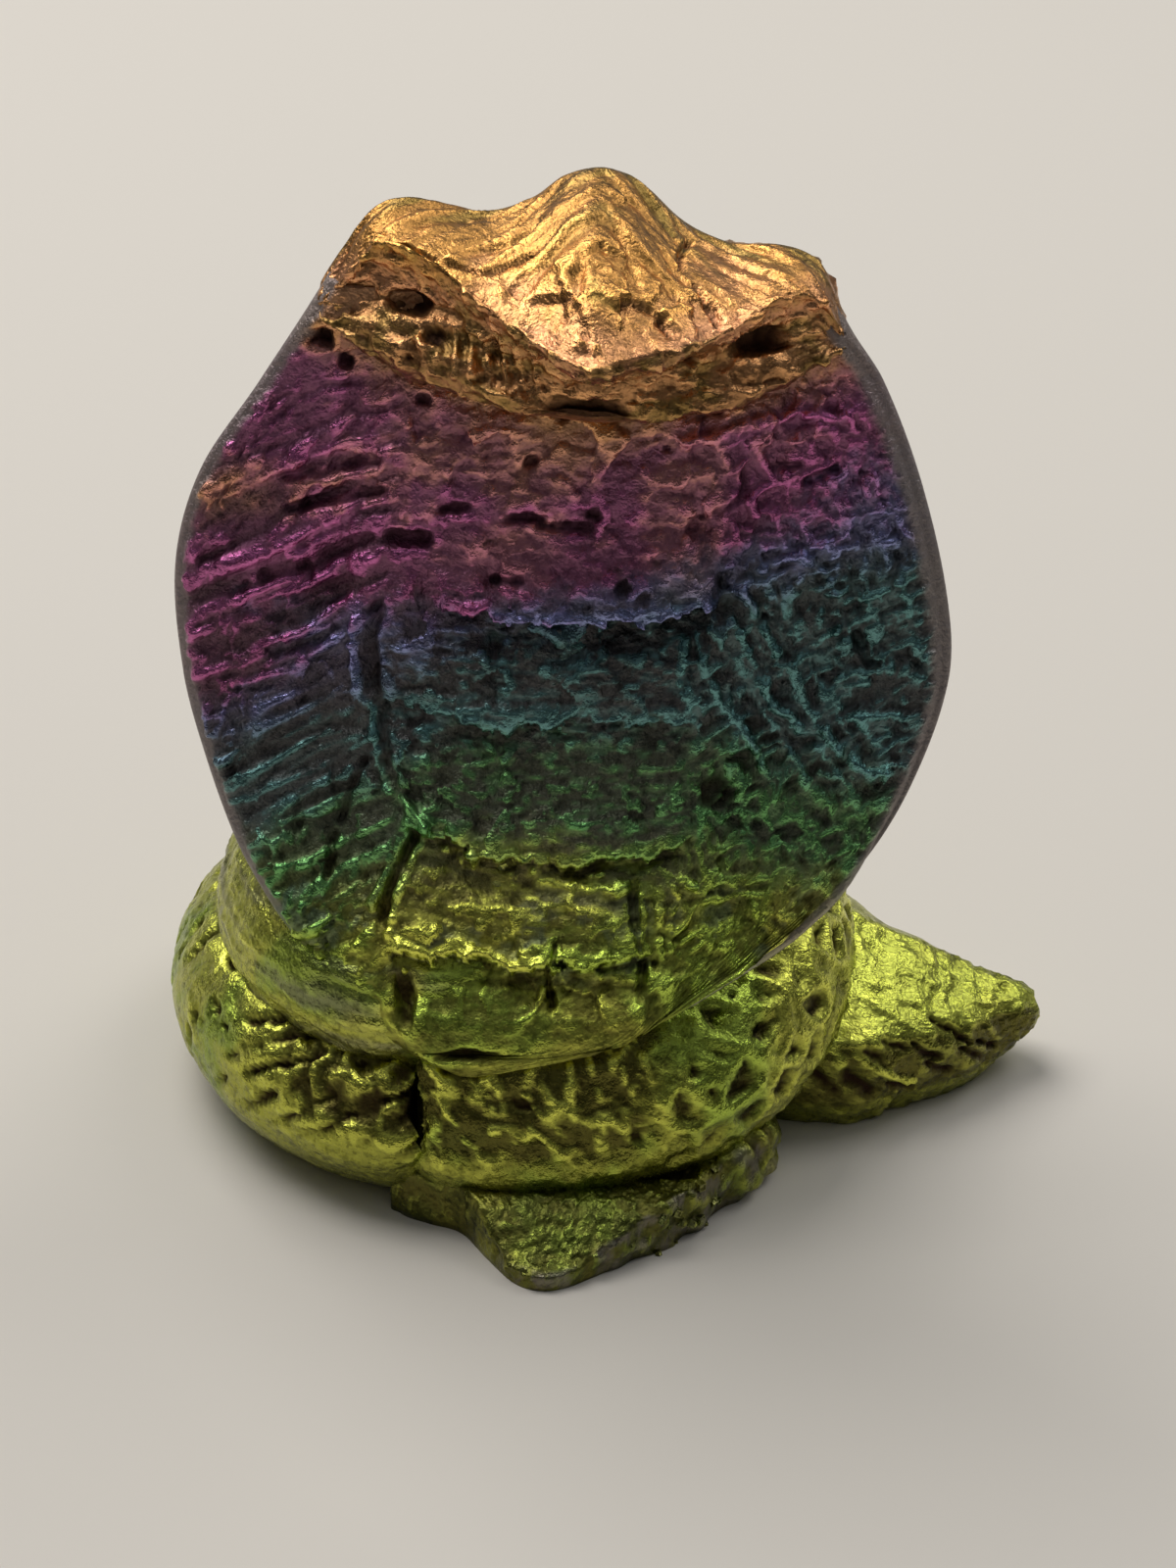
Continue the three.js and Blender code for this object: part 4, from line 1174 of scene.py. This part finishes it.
def cross_ridges(spot):
    """The left loop's slanted pockets and thin ridges, and the tail's gouged flank."""
    x, y, z, up, along = spot.x, spot.y, spot.z, spot.up, spot.along
    lean = spot.over * (y.smooth(-6, -14) * 1.1 - 0.1)
    pocket = ridges((along - lean) / 2.0 + spot.wander * 1.6 + spot.ragged * 0.3).smooth(0.62, 0.9)
    broken = spot.cloud(spot.at(along * 0.8, spot.over * 0.75, 3.0), 1.3, 3).smooth(-0.06, 0.08)
    pocket = pocket * broken * up.smooth(-0.3, 0.1) * y.smooth(7, 1)
    recess = x.smooth(-19.5, -15.5) * y.smooth(-7.0, -10.5) * up.smooth(0.0, 0.4)
    curl = spot.at(along - spot.over * 0.2 + spot.ragged, spot.over * 0.35, 0.0)
    curl = spot.veins(curl, 1.5, 30, 0.08) * recess
    flow = spot.at(along * 0.6, spot.over, 0.0)
    low = up.smooth(-0.1, -0.6)
    skin = spot.crinkled(flow, 2.0, 4) * blend(low, 0.2, 0.3) + spot.facets(flow, 1.8) * 0.12
    loop = curl * 0.4 - pocket * spot.size["Pit depth"] - recess * 0.9 + skin
    # Painted shade in the pockets and over the recess in front, lighter curls as a painted highlight, over
    # the metal's own blotches; the hole mark adds darker painted shade in the pockets and the recess.
    loop_stain_and_shading = (pocket + recess * 2.2 + spot.cloud(flow, 2.0, 9, 4.0) * 1.3 - curl * 1.5).smooth(0.25, 0.8)
    loop_hole = (pocket * 0.7).most(recess * (spot.patch(1.8, 34, -0.08, 0.04) - curl) * 0.8)

    on_flank = y.smooth(1.4, 0.2) * z.smooth(0.8, 2.0)
    tail = spot.crinkled(spot.place, 1.6, 1) * 0.45 + spot.facets(spot.place, 1.6) * 0.25
    facing = up * 0.94 + spot.front * 0.34
    tail = tail - ((facing - 0.8).most(0.0) * spot.thick * 0.7 - 0.3) * x.smooth(29, 25)
    unsettled = spot.at(x + spot.ragged * 0.8, z + spot.ragged * 0.5, 0.0)
    gouges, cores = strokes_over(unsettled, TAIL_CUTS)
    crests, bright = strokes_over(unsettled, TAIL_CRESTS)
    # Painted shade on the flank that turns away from the light, a lighter lower edge as a painted reflection
    # of the table, and lighter near the base and on the crests as painted light, over the metal's own
    # blotches.
    lower_edge = z.smooth(2.6, 1.2) * 0.8
    tail_stain_and_shading = on_flank * up.smooth(0.7, 0.3) * 0.75 - lower_edge
    tail_stain_and_shading = tail_stain_and_shading + spot.cloud(spot.place, 2.2, 9, 4.0) + x.smooth(19, 27) * 0.3
    tail_stain_and_shading = (tail_stain_and_shading - bright).smooth(0.3, 0.8)
    crowded = y.smooth(1.0, 3.0) * x.smooth(12, 15) * x.smooth(25, 22)
    tail = (tail + (gouges + crests) * on_flank) * (1 - crowded * 0.85)
    # A painted highlight on the tail's upward facing top and on its crests, and on the loop's curls; painted
    # shade in the gouges and the loop's pockets through the hole mark.
    on_top = facing.smooth(0.72, 0.95) * x.smooth(12, 15) * (x.smooth(26, 18) * 0.35 + 0.6)
    on_tail = x.smooth(8, 12)
    pairs = (
        (tail, loop), (tail_stain_and_shading, loop_stain_and_shading),
        (on_top.most(bright * on_flank), curl * 0.6), (cores * on_flank, loop_hole),
    )
    return [blend(on_tail, first, second) for first, second in pairs]


def long_streaks(spot):
    """The upper loop is smooth, with faint streaks along it; up the back it has low scales."""
    x, y, z = spot.x, spot.y, spot.z
    lengthwise = spot.at(spot.along * 0.16, spot.up * 4.5 + spot.wander * 2, 0.0)
    streak = spot.cloud(lengthwise, 1.1, 1, 4.0)
    scale = spot.cells(spot.at(x, y, z * 0.8), spot.size["Scale size"]).smooth(0.3, 0.02) * 0.4
    crust = spot.crinkled(lengthwise, 1.2, 4) * 0.45 + spot.crinkled(spot.place, 1.5, 5) * 0.3
    sunk, hole_shade = hollows_over((x + spot.ragged * 0.4, z), [((-10.6, 15.0), (0.8, 1.8), 0.7)])
    in_front = y.smooth(-11, -13)
    height = streak * 0.5 + crust + scale * z.smooth(18, 21) + sunk * in_front
    # The hole mark is painted shade in the hollow at the front.
    return height, streak.smooth(-0.02, 0.12) * 0.8, 0.0, hole_shade * in_front * 0.8


# The foot: the flange, its crystals and the filling of the coils.

def flange_skin():
    """The flange as rings from its foot up its edge and in to its middle."""
    outline = np.array(FLANGE_OUTLINE, float)
    dense = through(outline, [FLANGE_STEPS] * len(outline))
    middle = np.array(FLANGE_MIDDLE)
    inward = np.r_[np.full(8, 1), 0.997, 0.99, 0.98, 0.97, np.linspace(0.96, 0.02, 70)]
    rise = np.r_[np.linspace(0, 0.84, 8), 0.92, 0.97, 0.99, 1, np.ones(70)]
    rings = []
    for share, lift in zip(inward, rise):
        flat = middle + (dense - middle) * share
        top = lerp(FLANGE_TIP, FLANGE_TOP, ease(flat[:, 1], -25.6, -20.6))
        rings.append(np.c_[flat, top * lift])
    rings = np.array(rings)
    marks = {"inner": np.broadcast_to((1 - inward)[:, None], rings.shape[:2])}
    return loft("flange", rings, marks)


def towards_edge(x, y):
    """How far a place lies towards the flange's broken edge, which is at the right and in front."""
    return x * 0.75 - y * 0.65


def flange_tree(material):
    """The flange's skin: fine grain on top and a broken, lumpy edge at its right."""
    tree, size, geometry, end = geometry_tree("Flange relief", {"Seed": 31.0})
    spot = Spot(tree, size, ("inner",))
    x, y, z = spot.x, spot.y, spot.z
    outward = towards_edge(x, y)
    lumps = spot.cells(spot.place, 1.5, "SMOOTH_F1") * -0.9 + 0.35
    skin = spot.crinkled(spot.place, 1.5, 1) * 0.35 + spot.facets(spot.place, 1.0) * 0.35
    right_edge = outward.smooth(16.0, 19.0) * spot.inner.smooth(0.45, 0.05)
    bead, shine = stroke(spot.at(x, y + spot.ragged * 0.5, 0.0), FLANGE_BEAD, 0.45, 0.4)
    grit = spot.cloud(spot.place, 0.7, 12, 1.0).smooth(0.2, 0.26) * outward.smooth(9, 16)
    lump = x.smooth(6.5, 9.0) * y.smooth(-17.5, -15.0)
    folded = spot.crinkled(spot.at(x, y * 0.5, z * 0.5), 2.0, 14)
    sunk, dark = hollows_over((x + spot.ragged * 0.5, y + spot.ragged * 0.5), FLANGE_HOLLOWS)
    skin = skin * 0.8 + bead + grit * 0.3 + lump * (folded * 1.2 + 0.4) + sunk
    height = lumps * right_edge + skin * z.smooth(0.1, 0.9)
    # Lighter at the grit, and glints on the grit, the bead and the lump's folds through the line mark:
    # painted highlights; the hole mark is painted shade in the hollow.
    stain_and_shading = spot.cloud(spot.place, 2.0, 9, 4.0) * 1.4 + right_edge * 0.3
    stain_and_shading = stain_and_shading + y.smooth(-20.5, -18.5) * 0.35 - grit + 0.1
    border = spot.inner.smooth(0.05, 0.01) * outward.smooth(12, 15) * 0.6
    raise_skin(tree, geometry, end, height, material, {
        "stain_and_shading": (stain_and_shading - lump * 0.5).smooth(-0.25, 0.2),
        "line": grit.most(shine).most(lump * folded.smooth(0.0, 0.3)) * 0.7,
        "edge": border * spot.cloud(spot.place, 1.3, 13, 4.0).smooth(-0.02, 0.1),
        "hole_shade": dark * 0.8})
    return tree


def hopper_crystal():
    """A small cube whose faces are stepped inwards, as bismuth crystals grow."""
    shape = bmesh.new()
    bmesh.ops.create_cube(shape, size=MM)
    for width, sink in CRYSTAL_STEPS:
        faces = [face for face in shape.faces if face.calc_area() > 0.2 * MM * MM]
        bmesh.ops.inset_individual(shape, faces=faces, thickness=width * MM, depth=0)
        bmesh.ops.inset_individual(shape, faces=faces, thickness=0.005 * MM, depth=-sink * MM)
    mesh = bpy.data.meshes.new("crystal seed")
    shape.to_mesh(mesh)
    shape.free()
    seed = bpy.data.objects.new("crystal_seed", mesh)
    bpy.context.collection.objects.link(seed)
    return seed


def crystal_tree(material, seed_crystal):
    """Crystals scattered over the flange's broken edge."""
    tree, size, geometry, end = geometry_tree("Edge crystals", {
        "Count": 40.0, "Smallest": 0.2, "Largest": 0.55, "Seed": 5})
    x, y = in_millimetres(tree, position_of(tree))[:2]
    edge = towards_edge(x, y).smooth(16.8, 19.0) * stored(tree, "inner").smooth(0.4, 0.1)
    points = tree.nodes.new("GeometryNodeDistributePointsOnFaces")
    tree.links.new(geometry, points.inputs["Mesh"])
    feed(tree, points.inputs["Density"], edge * size["Count"] / (EDGE_AREA * MM * MM))
    feed(tree, points.inputs["Seed"], size["Seed"])
    info = tree.nodes.new("GeometryNodeObjectInfo")
    info.inputs["Object"].default_value = seed_crystal
    spin = tree.nodes.new("FunctionNodeRandomValue")
    spin.data_type = "FLOAT_VECTOR"
    spin.inputs["Max"].default_value = (math.tau, math.tau, math.tau)
    grow = tree.nodes.new("FunctionNodeRandomValue")
    grow.data_type = "FLOAT"
    feed(tree, grow.inputs[2], size["Smallest"])
    feed(tree, grow.inputs[3], size["Largest"])
    feed(tree, grow.inputs["Seed"], size["Seed"] + 1)
    place = tree.nodes.new("GeometryNodeInstanceOnPoints")
    tree.links.new(points.outputs["Points"], place.inputs["Points"])
    tree.links.new(info.outputs["Geometry"], place.inputs["Instance"])
    tree.links.new(spin.outputs["Value"], place.inputs["Rotation"])
    tree.links.new(grow.outputs[1], place.inputs["Scale"])
    geometry = step(tree, "GeometryNodeRealizeInstances", place.outputs["Instances"])
    geometry = store(tree, geometry, "edge", CRYSTAL_GREY)
    finish_skin(tree, geometry, end, material)
    return tree


def core_skin():
    """The filling of the coils: a low dome."""
    up = np.linspace(0.02, 0.5, CORE_ROWS)[:, None] * math.pi
    turn = np.linspace(0, 2, CORE_POINTS, endpoint=False)[None, :] * math.pi
    x = CORE["x"] + CORE["across"] * np.cos(turn) * np.sin(up)
    y = CORE["y"] + CORE["deep"] * np.sin(turn) * np.sin(up)
    z = CORE["top"] * np.cos(up) + 0 * turn
    rings = np.stack([x, y, z], -1)
    return loft("coil_filling", rings, {})


def core_tree(material):
    tree, size, geometry, end = geometry_tree("Filling relief", {"Seed": 41.0})
    x, y, z = in_millimetres(tree, position_of(tree))
    place = combine(tree, x, y, z)
    grain = crinkled(tree, place, 2.0, size["Seed"]) * 0.5
    raise_skin(tree, geometry, end, grain * z.smooth(0.2, 1.5), material, {})
    return tree


# The oxide skin's colours.

BANDS = [
    (0, "lime", 0.75), (12, "lime", 1.0), (21.5, "lime", 0.85), (25, "green", 1.0),
    (28, "green", 1.0), (31, "teal", 1.1), (35, "teal", 0.9), (38.3, "indigo", 1.3),
    (40.2, "magenta", 0.9), (44.5, "magenta", 1.0), (47.5, "copper", 0.8), (51, "copper", 1.0),
    (53.6, "copper", 1.0), (55, "rose", 1.0), (57.5, "gold", 1.0), (60, "gold", 0.8),
]
RAMP_TOP = 62.0


def shader_group(name, inputs, outputs):
    """A shader node group, its inputs as fields, and its last node."""
    tree, start, end = node_group(name, "ShaderNodeTree", inputs, outputs)
    return tree, {label: Field(tree, start.outputs[label]) for label in inputs}, end


def mix_colour(tree, share, first, second, blend="MIX"):
    node = tree.nodes.new("ShaderNodeMix")
    node.data_type = "RGBA"
    node.blend_type = blend
    feed(tree, node.inputs["Factor"], share)
    feed(tree, node.inputs[6], first)
    feed(tree, node.inputs[7], second)
    return Field(tree, node.outputs[2])


def oxide_bands(colours):
    """The band of oxide colour at a height, with its ragged and tilted borders."""
    tree, given, end = shader_group(
        "Oxide bands", {"Place": "NodeSocketVector", "Lift": 0.0}, {"Color": "NodeSocketColor"})
    x, y, z = in_millimetres(tree, given["Place"])
    place = combine(tree, x, y, z)
    tilt = z.smooth(26, 38) * z.smooth(51, 43) * 0.21
    droop = abs(x + 0.8) * z.smooth(41, 48) * 0.33
    wide = noise(tree, place, 7.0, 4.0, 0.6, seed=2.0) * 5.0
    ragged = wide + noise(tree, place, 1.4, 3.0, 0.6, seed=6.0) * 3.0
    beside = (-x - 8).most(0.0) * 0.6 + (x - 4).most(0.0) * 0.22
    wings = beside * z.smooth(15, 19) * z.smooth(37, 31)
    height = z - x * tilt - droop * z.smooth(56, 52) + wings + ragged + given["Lift"]
    ramp = tree.nodes.new("ShaderNodeValToRGB")
    feed(tree, ramp.inputs["Fac"], height / RAMP_TOP)
    stops = ramp.color_ramp.elements
    while len(stops) < len(BANDS):
        stops.new(1.0)
    for stop, (at, colour, strength) in zip(stops, BANDS):
        stop.position = at / RAMP_TOP
        stop.color = (*(strength * channel for channel in getattr(colours, colour)), 1)
    patches = noise(tree, place, 8.0, 3.0, 0.55, seed=12.0).smooth(-0.03, 0.09) * z.smooth(30, 20)
    patches = patches * (x.smooth(15, 11) * 0.75 + 0.25)
    greener = mix_colour(tree, patches, Field(tree, ramp.outputs["Color"]), GREEN_TINT, "MULTIPLY")
    tree.links.new(greener.socket, end.inputs["Color"])
    return tree


def cast_dullness_and_shading():
    """Where the skin stands proud, for a painted highlight, where it lies deep, for painted shade, and where
    it is dull.
    """
    tree, given, end = shader_group(
        "Cast wear", {"Place": "NodeSocketVector", "Cavity": 0.0, "Dull patches": 0.5},
        {label: "NodeSocketFloat" for label in ("Proud", "Deep", "Dull", "Patch")})
    place = combine(tree, *in_millimetres(tree, given["Place"]))
    cavity = given["Cavity"] + noise(tree, place, 0.5, 3.0, 0.6, seed=3.0) * 0.1
    patches = noise(tree, place, 3.0, 4.0, 0.62, seed=9.0)
    dull = cavity.smooth(0.08, -0.02) * (patches + given["Dull patches"] - 0.5).smooth(-0.12, 0.12)
    marks = {
        # Proud marks raised places for a painted highlight, Deep marks hollows for painted shade.
        "Proud": cavity.smooth(0.02, 0.16),
        "Deep": cavity.smooth(-0.06, -0.4),
        "Dull": dull,
        "Patch": noise(tree, place, 4.0, 3.0, 0.6, seed=8.0).smooth(-0.02, 0.05),
    }
    for label, value in marks.items():
        tree.links.new(value.socket, end.inputs[label])
    return tree


def cast_grain():
    """The fine grain of the cast skin, as a height for a bump and a change of roughness."""
    tree, given, end = shader_group(
        "Cast grain", {"Place": "NodeSocketVector", "Grain": 0.35},
        {label: "NodeSocketFloat" for label in ("Height", "Gloss", "Fleck")})
    place = combine(tree, *in_millimetres(tree, given["Place"]))
    fine = noise(tree, place, given["Grain"], 4.0, 0.65, seed=1.0)
    wrinkles = abs(noise(tree, place, given["Grain"] * 2.5, 3.0, 0.6, seed=5.0)).smooth(0.12, 0.0)
    height = fine + facets(tree, place, 0.7) * 1.4 + wrinkles * 0.35
    gloss = noise(tree, place, 1.6, 4.0, 0.6, seed=4.0)
    fleck = noise(tree, place, 0.5, 3.0, 0.6, seed=7.0).smooth(0.02, -0.14) * 0.8
    for label, value in (("Height", height), ("Gloss", gloss), ("Fleck", fleck)):
        tree.links.new(value.socket, end.inputs[label])
    return tree


def place_group(tree, group, values):
    node = tree.nodes.new("ShaderNodeGroup")
    node.node_tree = group
    for label, value in values.items():
        feed(tree, node.inputs[label], value)
    return {socket.name: Field(tree, socket) for socket in node.outputs}


def attribute(tree, name):
    node = tree.nodes.new("ShaderNodeAttribute")
    node.attribute_name = name
    return Field(tree, node.outputs["Fac"])


def oxide_material(name, colours, stain_and_shading, dull, grain=0.3, bump=0.3, flats=False, rough=0.27):
    """The cast metal's oxide skin: banded colour and dull flats, with painted shade in the hollows and
    painted highlights on the ridges.
    """
    material = bpy.data.materials.new(name)
    material.use_nodes = True
    tree = material.node_tree
    shader = tree.nodes["Principled BSDF"]
    place = Field(tree, tree.nodes.new("ShaderNodeTexCoord").outputs["Object"])
    cavity = attribute(tree, "cavity")
    bands = place_group(tree, shared("Oxide bands"), {"Place": place, "Lift": cavity * 1.5})
    dullness_and_shading = place_group(tree, shared("Cast wear"), {"Place": place, "Cavity": cavity, "Dull patches": dull})
    skin = place_group(tree, shared("Cast grain"), {"Place": place, "Grain": grain})
    z = in_millimetres(tree, place)[2]
    low = z.smooth(24, 18)
    bare = mix_colour(tree, low, (*colours.bare, 1), BARE_FOOT)
    bare = mix_colour(tree, dullness_and_shading["Patch"] * low * z.smooth(15.5, 17.5), bare, BARE_GREY)
    bare = mix_colour(tree, z.smooth(35, 40) * 0.15 + 0.17, bare, bands["Color"])
    # The stain mark: the metal's own blotches and streaks; on the coils and the head it also holds painted
    # shade on recesses and on sides turned from the light, and it is lowered for painted reflections and
    # highlights.
    stain_and_shading_mask = attribute(tree, "stain_and_shading")
    colour = mix_colour(tree, stain_and_shading_mask * 0.85, bands["Color"], (*stain_and_shading, 1))
    colour = mix_colour(tree, dullness_and_shading["Dull"] * 0.7, colour, bare)
    # Painted shade in the deep places and a painted highlight on the proud ones.
    colour = mix_colour(tree, dullness_and_shading["Deep"] * 0.8, colour, DEEP_SHADE, "MULTIPLY")
    colour = mix_colour(tree, dullness_and_shading["Proud"] * 0.5, colour, bands["Color"], "ADD")
    roughness = dullness_and_shading["Dull"] * 0.16 - dullness_and_shading["Proud"] * 0.08 + skin["Gloss"] * 0.3 + rough
    line = attribute(tree, "line")
    strength = bump
    if flats:
        flat = (1 - line) * (1 - dullness_and_shading["Proud"] * 0.6) * (1 - stain_and_shading_mask) * z.smooth(17, 24)
        colour = mix_colour(tree, flat * 0.8, colour, bare)
        roughness = roughness + flat * 0.06
        strength = flat * 0.3 + bump
    colour = mix_colour(tree, skin["Fleck"], colour, FLECK_TINT, "MULTIPLY")
    # The line mark: a painted highlight on ridges, crests, lips and glints.
    colour = mix_colour(tree, line * 0.6, colour, bands["Color"], "ADD")
    edge = attribute(tree, "edge")
    colour = mix_colour(tree, edge * 0.8, colour, EDGE_GREY)
    # Painted shade in the holes, hollows, pits and gouges.
    hole_shade = attribute(tree, "hole_shade")
    colour = mix_colour(tree, hole_shade * 0.9, colour, HOLE_SHADE)
    roughness = roughness + edge * 0.06 + hole_shade * 0.3
    feed(tree, shader.inputs["Base Color"], colour)
    feed(tree, shader.inputs["Roughness"], roughness)
    shader.inputs["Metallic"].default_value = METAL
    relief = tree.nodes.new("ShaderNodeBump")
    feed(tree, relief.inputs["Strength"], strength)
    relief.inputs["Distance"].default_value = GRAIN_DEPTH * MM
    feed(tree, relief.inputs["Height"], skin["Height"])
    tree.links.new(relief.outputs["Normal"], shader.inputs["Normal"])
    return material


def shared(name):
    """A shader group that several materials use, made the first time it is asked for."""
    if name not in bpy.data.node_groups:
        makers = {
            "Oxide bands": lambda: oxide_bands(bpy.context.scene.oxide_colours),
            "Cast wear": cast_dullness_and_shading,
            "Cast grain": cast_grain,
        }
        makers[name]()
    return bpy.data.node_groups[name]


# The operators.

class COBRA_OT_hood(bpy.types.Operator):
    """Build the spread hood with its scutes, ribs and net"""

    bl_idname = "cobra.hood"
    bl_label = "Hood"

    def execute(self, context):
        sizes = context.scene.cast_sizes
        material = oxide_material(
            "hood oxide", context.scene.oxide_colours, HOOD_STAIN, dull=0.6, flats=True)
        settle(hood_skin(), hood_tree(material), {
            "Rib pitch": sizes.rib_pitch / MM, "Rib height": sizes.rib_height / MM,
            "Net pitch": sizes.net_pitch / MM})
        return {"FINISHED"}


class COBRA_OT_head(bpy.types.Operator):
    """Build the wedge-shaped head"""

    bl_idname = "cobra.head"
    bl_label = "Head"

    def execute(self, context):
        material = oxide_material(
            "head oxide", context.scene.oxide_colours, HEAD_STAIN_AND_SHADE, dull=0.1, rough=0.3)
        settle(head_skin(), head_tree(material), {})
        return {"FINISHED"}


class COBRA_OT_coils(bpy.types.Operator):
    """Build the coiled body and the free tail"""

    bl_idname = "cobra.coils"
    bl_label = "Coils and tail"

    def execute(self, context):
        sizes = context.scene.cast_sizes
        colours = context.scene.oxide_colours
        coil_material = oxide_material("coil oxide", colours, COIL_STAIN_AND_SHADE, dull=0.2)
        loop_material = oxide_material("loop oxide", colours, LOOP_STAIN, dull=0.2)
        for name, stations, relief, material, spread in (
            ("lower_coil", LOWER_COIL, cross_ridges, coil_material, TAIL_SPREAD),
            ("middle_coil", MIDDLE_COIL, net_of_pits, coil_material, 0.0),
            ("upper_coil", UPPER_COIL, long_streaks, loop_material, 0.0),
        ):
            settle(centre_line(name, stations), coil_tree(name, material, relief), {
                "Scale size": sizes.scale_size / MM, "Pit depth": sizes.pit_depth / MM, "Spread": spread})
        return {"FINISHED"}


class COBRA_OT_foot(bpy.types.Operator):
    """Build the cast flange, the crystals on its edge and the filling of the coils"""

    bl_idname = "cobra.foot"
    bl_label = "Flange and crystals"

    def execute(self, context):
        colours = context.scene.oxide_colours
        material = oxide_material("foot oxide", colours, FOOT_STAIN, dull=0.5)
        crystal_material = oxide_material(
            "crystal oxide", colours, COIL_STAIN_AND_SHADE, dull=0.3, grain=0.2, bump=0.25, rough=0.24)
        seed_crystal = hopper_crystal()
        crystals = flange_skin()
        crystals.name = "edge_crystals"
        settle(crystals, crystal_tree(crystal_material, seed_crystal), {
            "Count": float(context.scene.cast_sizes.crystals)})
        bpy.data.objects.remove(seed_crystal)
        settle(flange_skin(), flange_tree(material), {})
        settle(core_skin(), core_tree(material), {})
        return {"FINISHED"}


class COBRA_OT_stage(bpy.types.Operator):
    """Set the pale table, the soft light and the camera"""

    bl_idname = "cobra.stage"
    bl_label = "Stage"

    def execute(self, context):
        settings = context.scene.stage_settings
        table(settings)
        lights(settings)
        camera(context.scene, settings)
        context.scene.view_settings.view_transform = "Standard"
        return {"FINISHED"}


def table(settings):
    """A pale, slightly mottled table top."""
    half = TABLE_HALF
    mesh = bpy.data.meshes.new("table")
    corners = [(-half, -half, 0), (half, -half, 0), (half, half, 0), (-half, half, 0)]
    mesh.from_pydata(corners, [], [(0, 1, 2, 3)])
    top = bpy.data.objects.new("table", mesh)
    bpy.context.collection.objects.link(top)
    material = bpy.data.materials.new("table top")
    material.use_nodes = True
    tree = material.node_tree
    shader = tree.nodes["Principled BSDF"]
    place = Field(tree, tree.nodes.new("ShaderNodeTexCoord").outputs["Object"])
    mottle = noise(tree, place, MOTTLE_SIZE, 3.0, 0.6) * 0.12 + 0.5
    light = (*settings.table, 1)
    dark = (*(MOTTLE_SHADE * channel for channel in settings.table), 1)
    feed(tree, shader.inputs["Base Color"], mix_colour(tree, mottle, dark, light))
    shader.inputs["Roughness"].default_value = TABLE_ROUGHNESS
    mesh.materials.append(material)


def area_light(name, at, aim, size, power, colour):
    lamp = bpy.data.lights.new(name, "AREA")
    lamp.shape = "RECTANGLE"
    lamp.size, lamp.size_y = size
    lamp.energy = power
    lamp.color = colour
    holder = bpy.data.objects.new(name, lamp)
    bpy.context.collection.objects.link(holder)
    towards = Vector(aim) - Vector(at)
    holder.rotation_euler = towards.to_track_quat("-Z", "Y").to_euler()
    holder.location = at


def lights(settings):
    """A broad soft light above at the left, a weaker one at the right, and a room that is dark in front."""
    area_light(
        "key", at=(-0.3, 0.29, 0.7), aim=(0.28, 0.05, 0), size=(0.65, 0.55),
        power=settings.key_power, colour=(1.0, 0.975, 0.94))
    area_light(
        "window", at=(0.40, 0.28, 0.58), aim=(0.04, 0, 0.01), size=(0.36, 0.36),
        power=WINDOW_POWER, colour=(1.0, 0.99, 0.95))
    world = bpy.data.worlds.new("room")
    world.use_nodes = True
    tree = world.node_tree
    background = tree.nodes["Background"]
    background.inputs["Color"].default_value = (0.95, 0.97, 1.0, 1)
    _, y, z = separate(tree, Field(tree, tree.nodes.new("ShaderNodeTexCoord").outputs["Generated"]))
    behind = y.smooth(-0.2, 0.9) * ROOM_BEHIND
    above = z.smooth(0.35, 0.95) * ROOM_ABOVE
    feed(tree, background.inputs["Strength"], behind + above + ROOM_AROUND)
    bpy.context.scene.world = world


def camera(scene, settings):
    """The camera at the photograph's angle."""
    tilt, roll = settings.elevation, settings.roll
    look = Vector((0, math.cos(tilt), -math.sin(tilt)))
    right = Vector((1, 0, 0))
    up = Vector((0, math.sin(tilt), math.cos(tilt)))
    across = right * math.cos(roll) + up * math.sin(roll)
    upright = up * math.cos(roll) - right * math.sin(roll)
    target = Vector((np.array(CAMERA_AIM) - MIDDLE) * MM)
    turn = Matrix((across, upright, -look)).transposed().to_4x4()
    turn.translation = target - look * settings.distance
    lens = bpy.data.cameras.new("camera")
    lens.lens = settings.lens
    lens.sensor_fit = "VERTICAL"
    lens.sensor_height = SENSOR_HEIGHT
    lens.clip_start = 0.01
    holder = bpy.data.objects.new("camera", lens)
    bpy.context.collection.objects.link(holder)
    holder.matrix_world = turn
    scene.camera = holder


OPERATORS = (COBRA_OT_hood, COBRA_OT_head, COBRA_OT_coils, COBRA_OT_foot, COBRA_OT_stage)


class COBRA_PT_panel(bpy.types.Panel):
    """Sizes, colours and steps of the cast cobra"""

    bl_idname = "COBRA_PT_panel"
    bl_label = "Cobra"
    bl_space_type = "VIEW_3D"
    bl_region_type = "UI"
    bl_category = "Cobra"

    def draw(self, context):
        for settings in (context.scene.cast_sizes, context.scene.oxide_colours, context.scene.stage_settings):
            box = self.layout.box()
            for name in settings.__annotations__:
                box.prop(settings, name)
        for operator in OPERATORS:
            self.layout.operator(operator.bl_idname)


CLASSES = (CastSizes, OxideColours, StageSettings, *OPERATORS, COBRA_PT_panel)


def register():
    for item in CLASSES:
        bpy.utils.register_class(item)
    bpy.types.Scene.cast_sizes = PointerProperty(type=CastSizes)
    bpy.types.Scene.oxide_colours = PointerProperty(type=OxideColours)
    bpy.types.Scene.stage_settings = PointerProperty(type=StageSettings)


def unregister():
    del bpy.types.Scene.cast_sizes
    del bpy.types.Scene.oxide_colours
    del bpy.types.Scene.stage_settings
    for item in reversed(CLASSES):
        bpy.utils.unregister_class(item)


def main():
    register()
    bpy.ops.cobra.hood()
    bpy.ops.cobra.head()
    bpy.ops.cobra.coils()
    bpy.ops.cobra.foot()
    bpy.ops.cobra.stage()


if __name__ == "__main__":
    main()
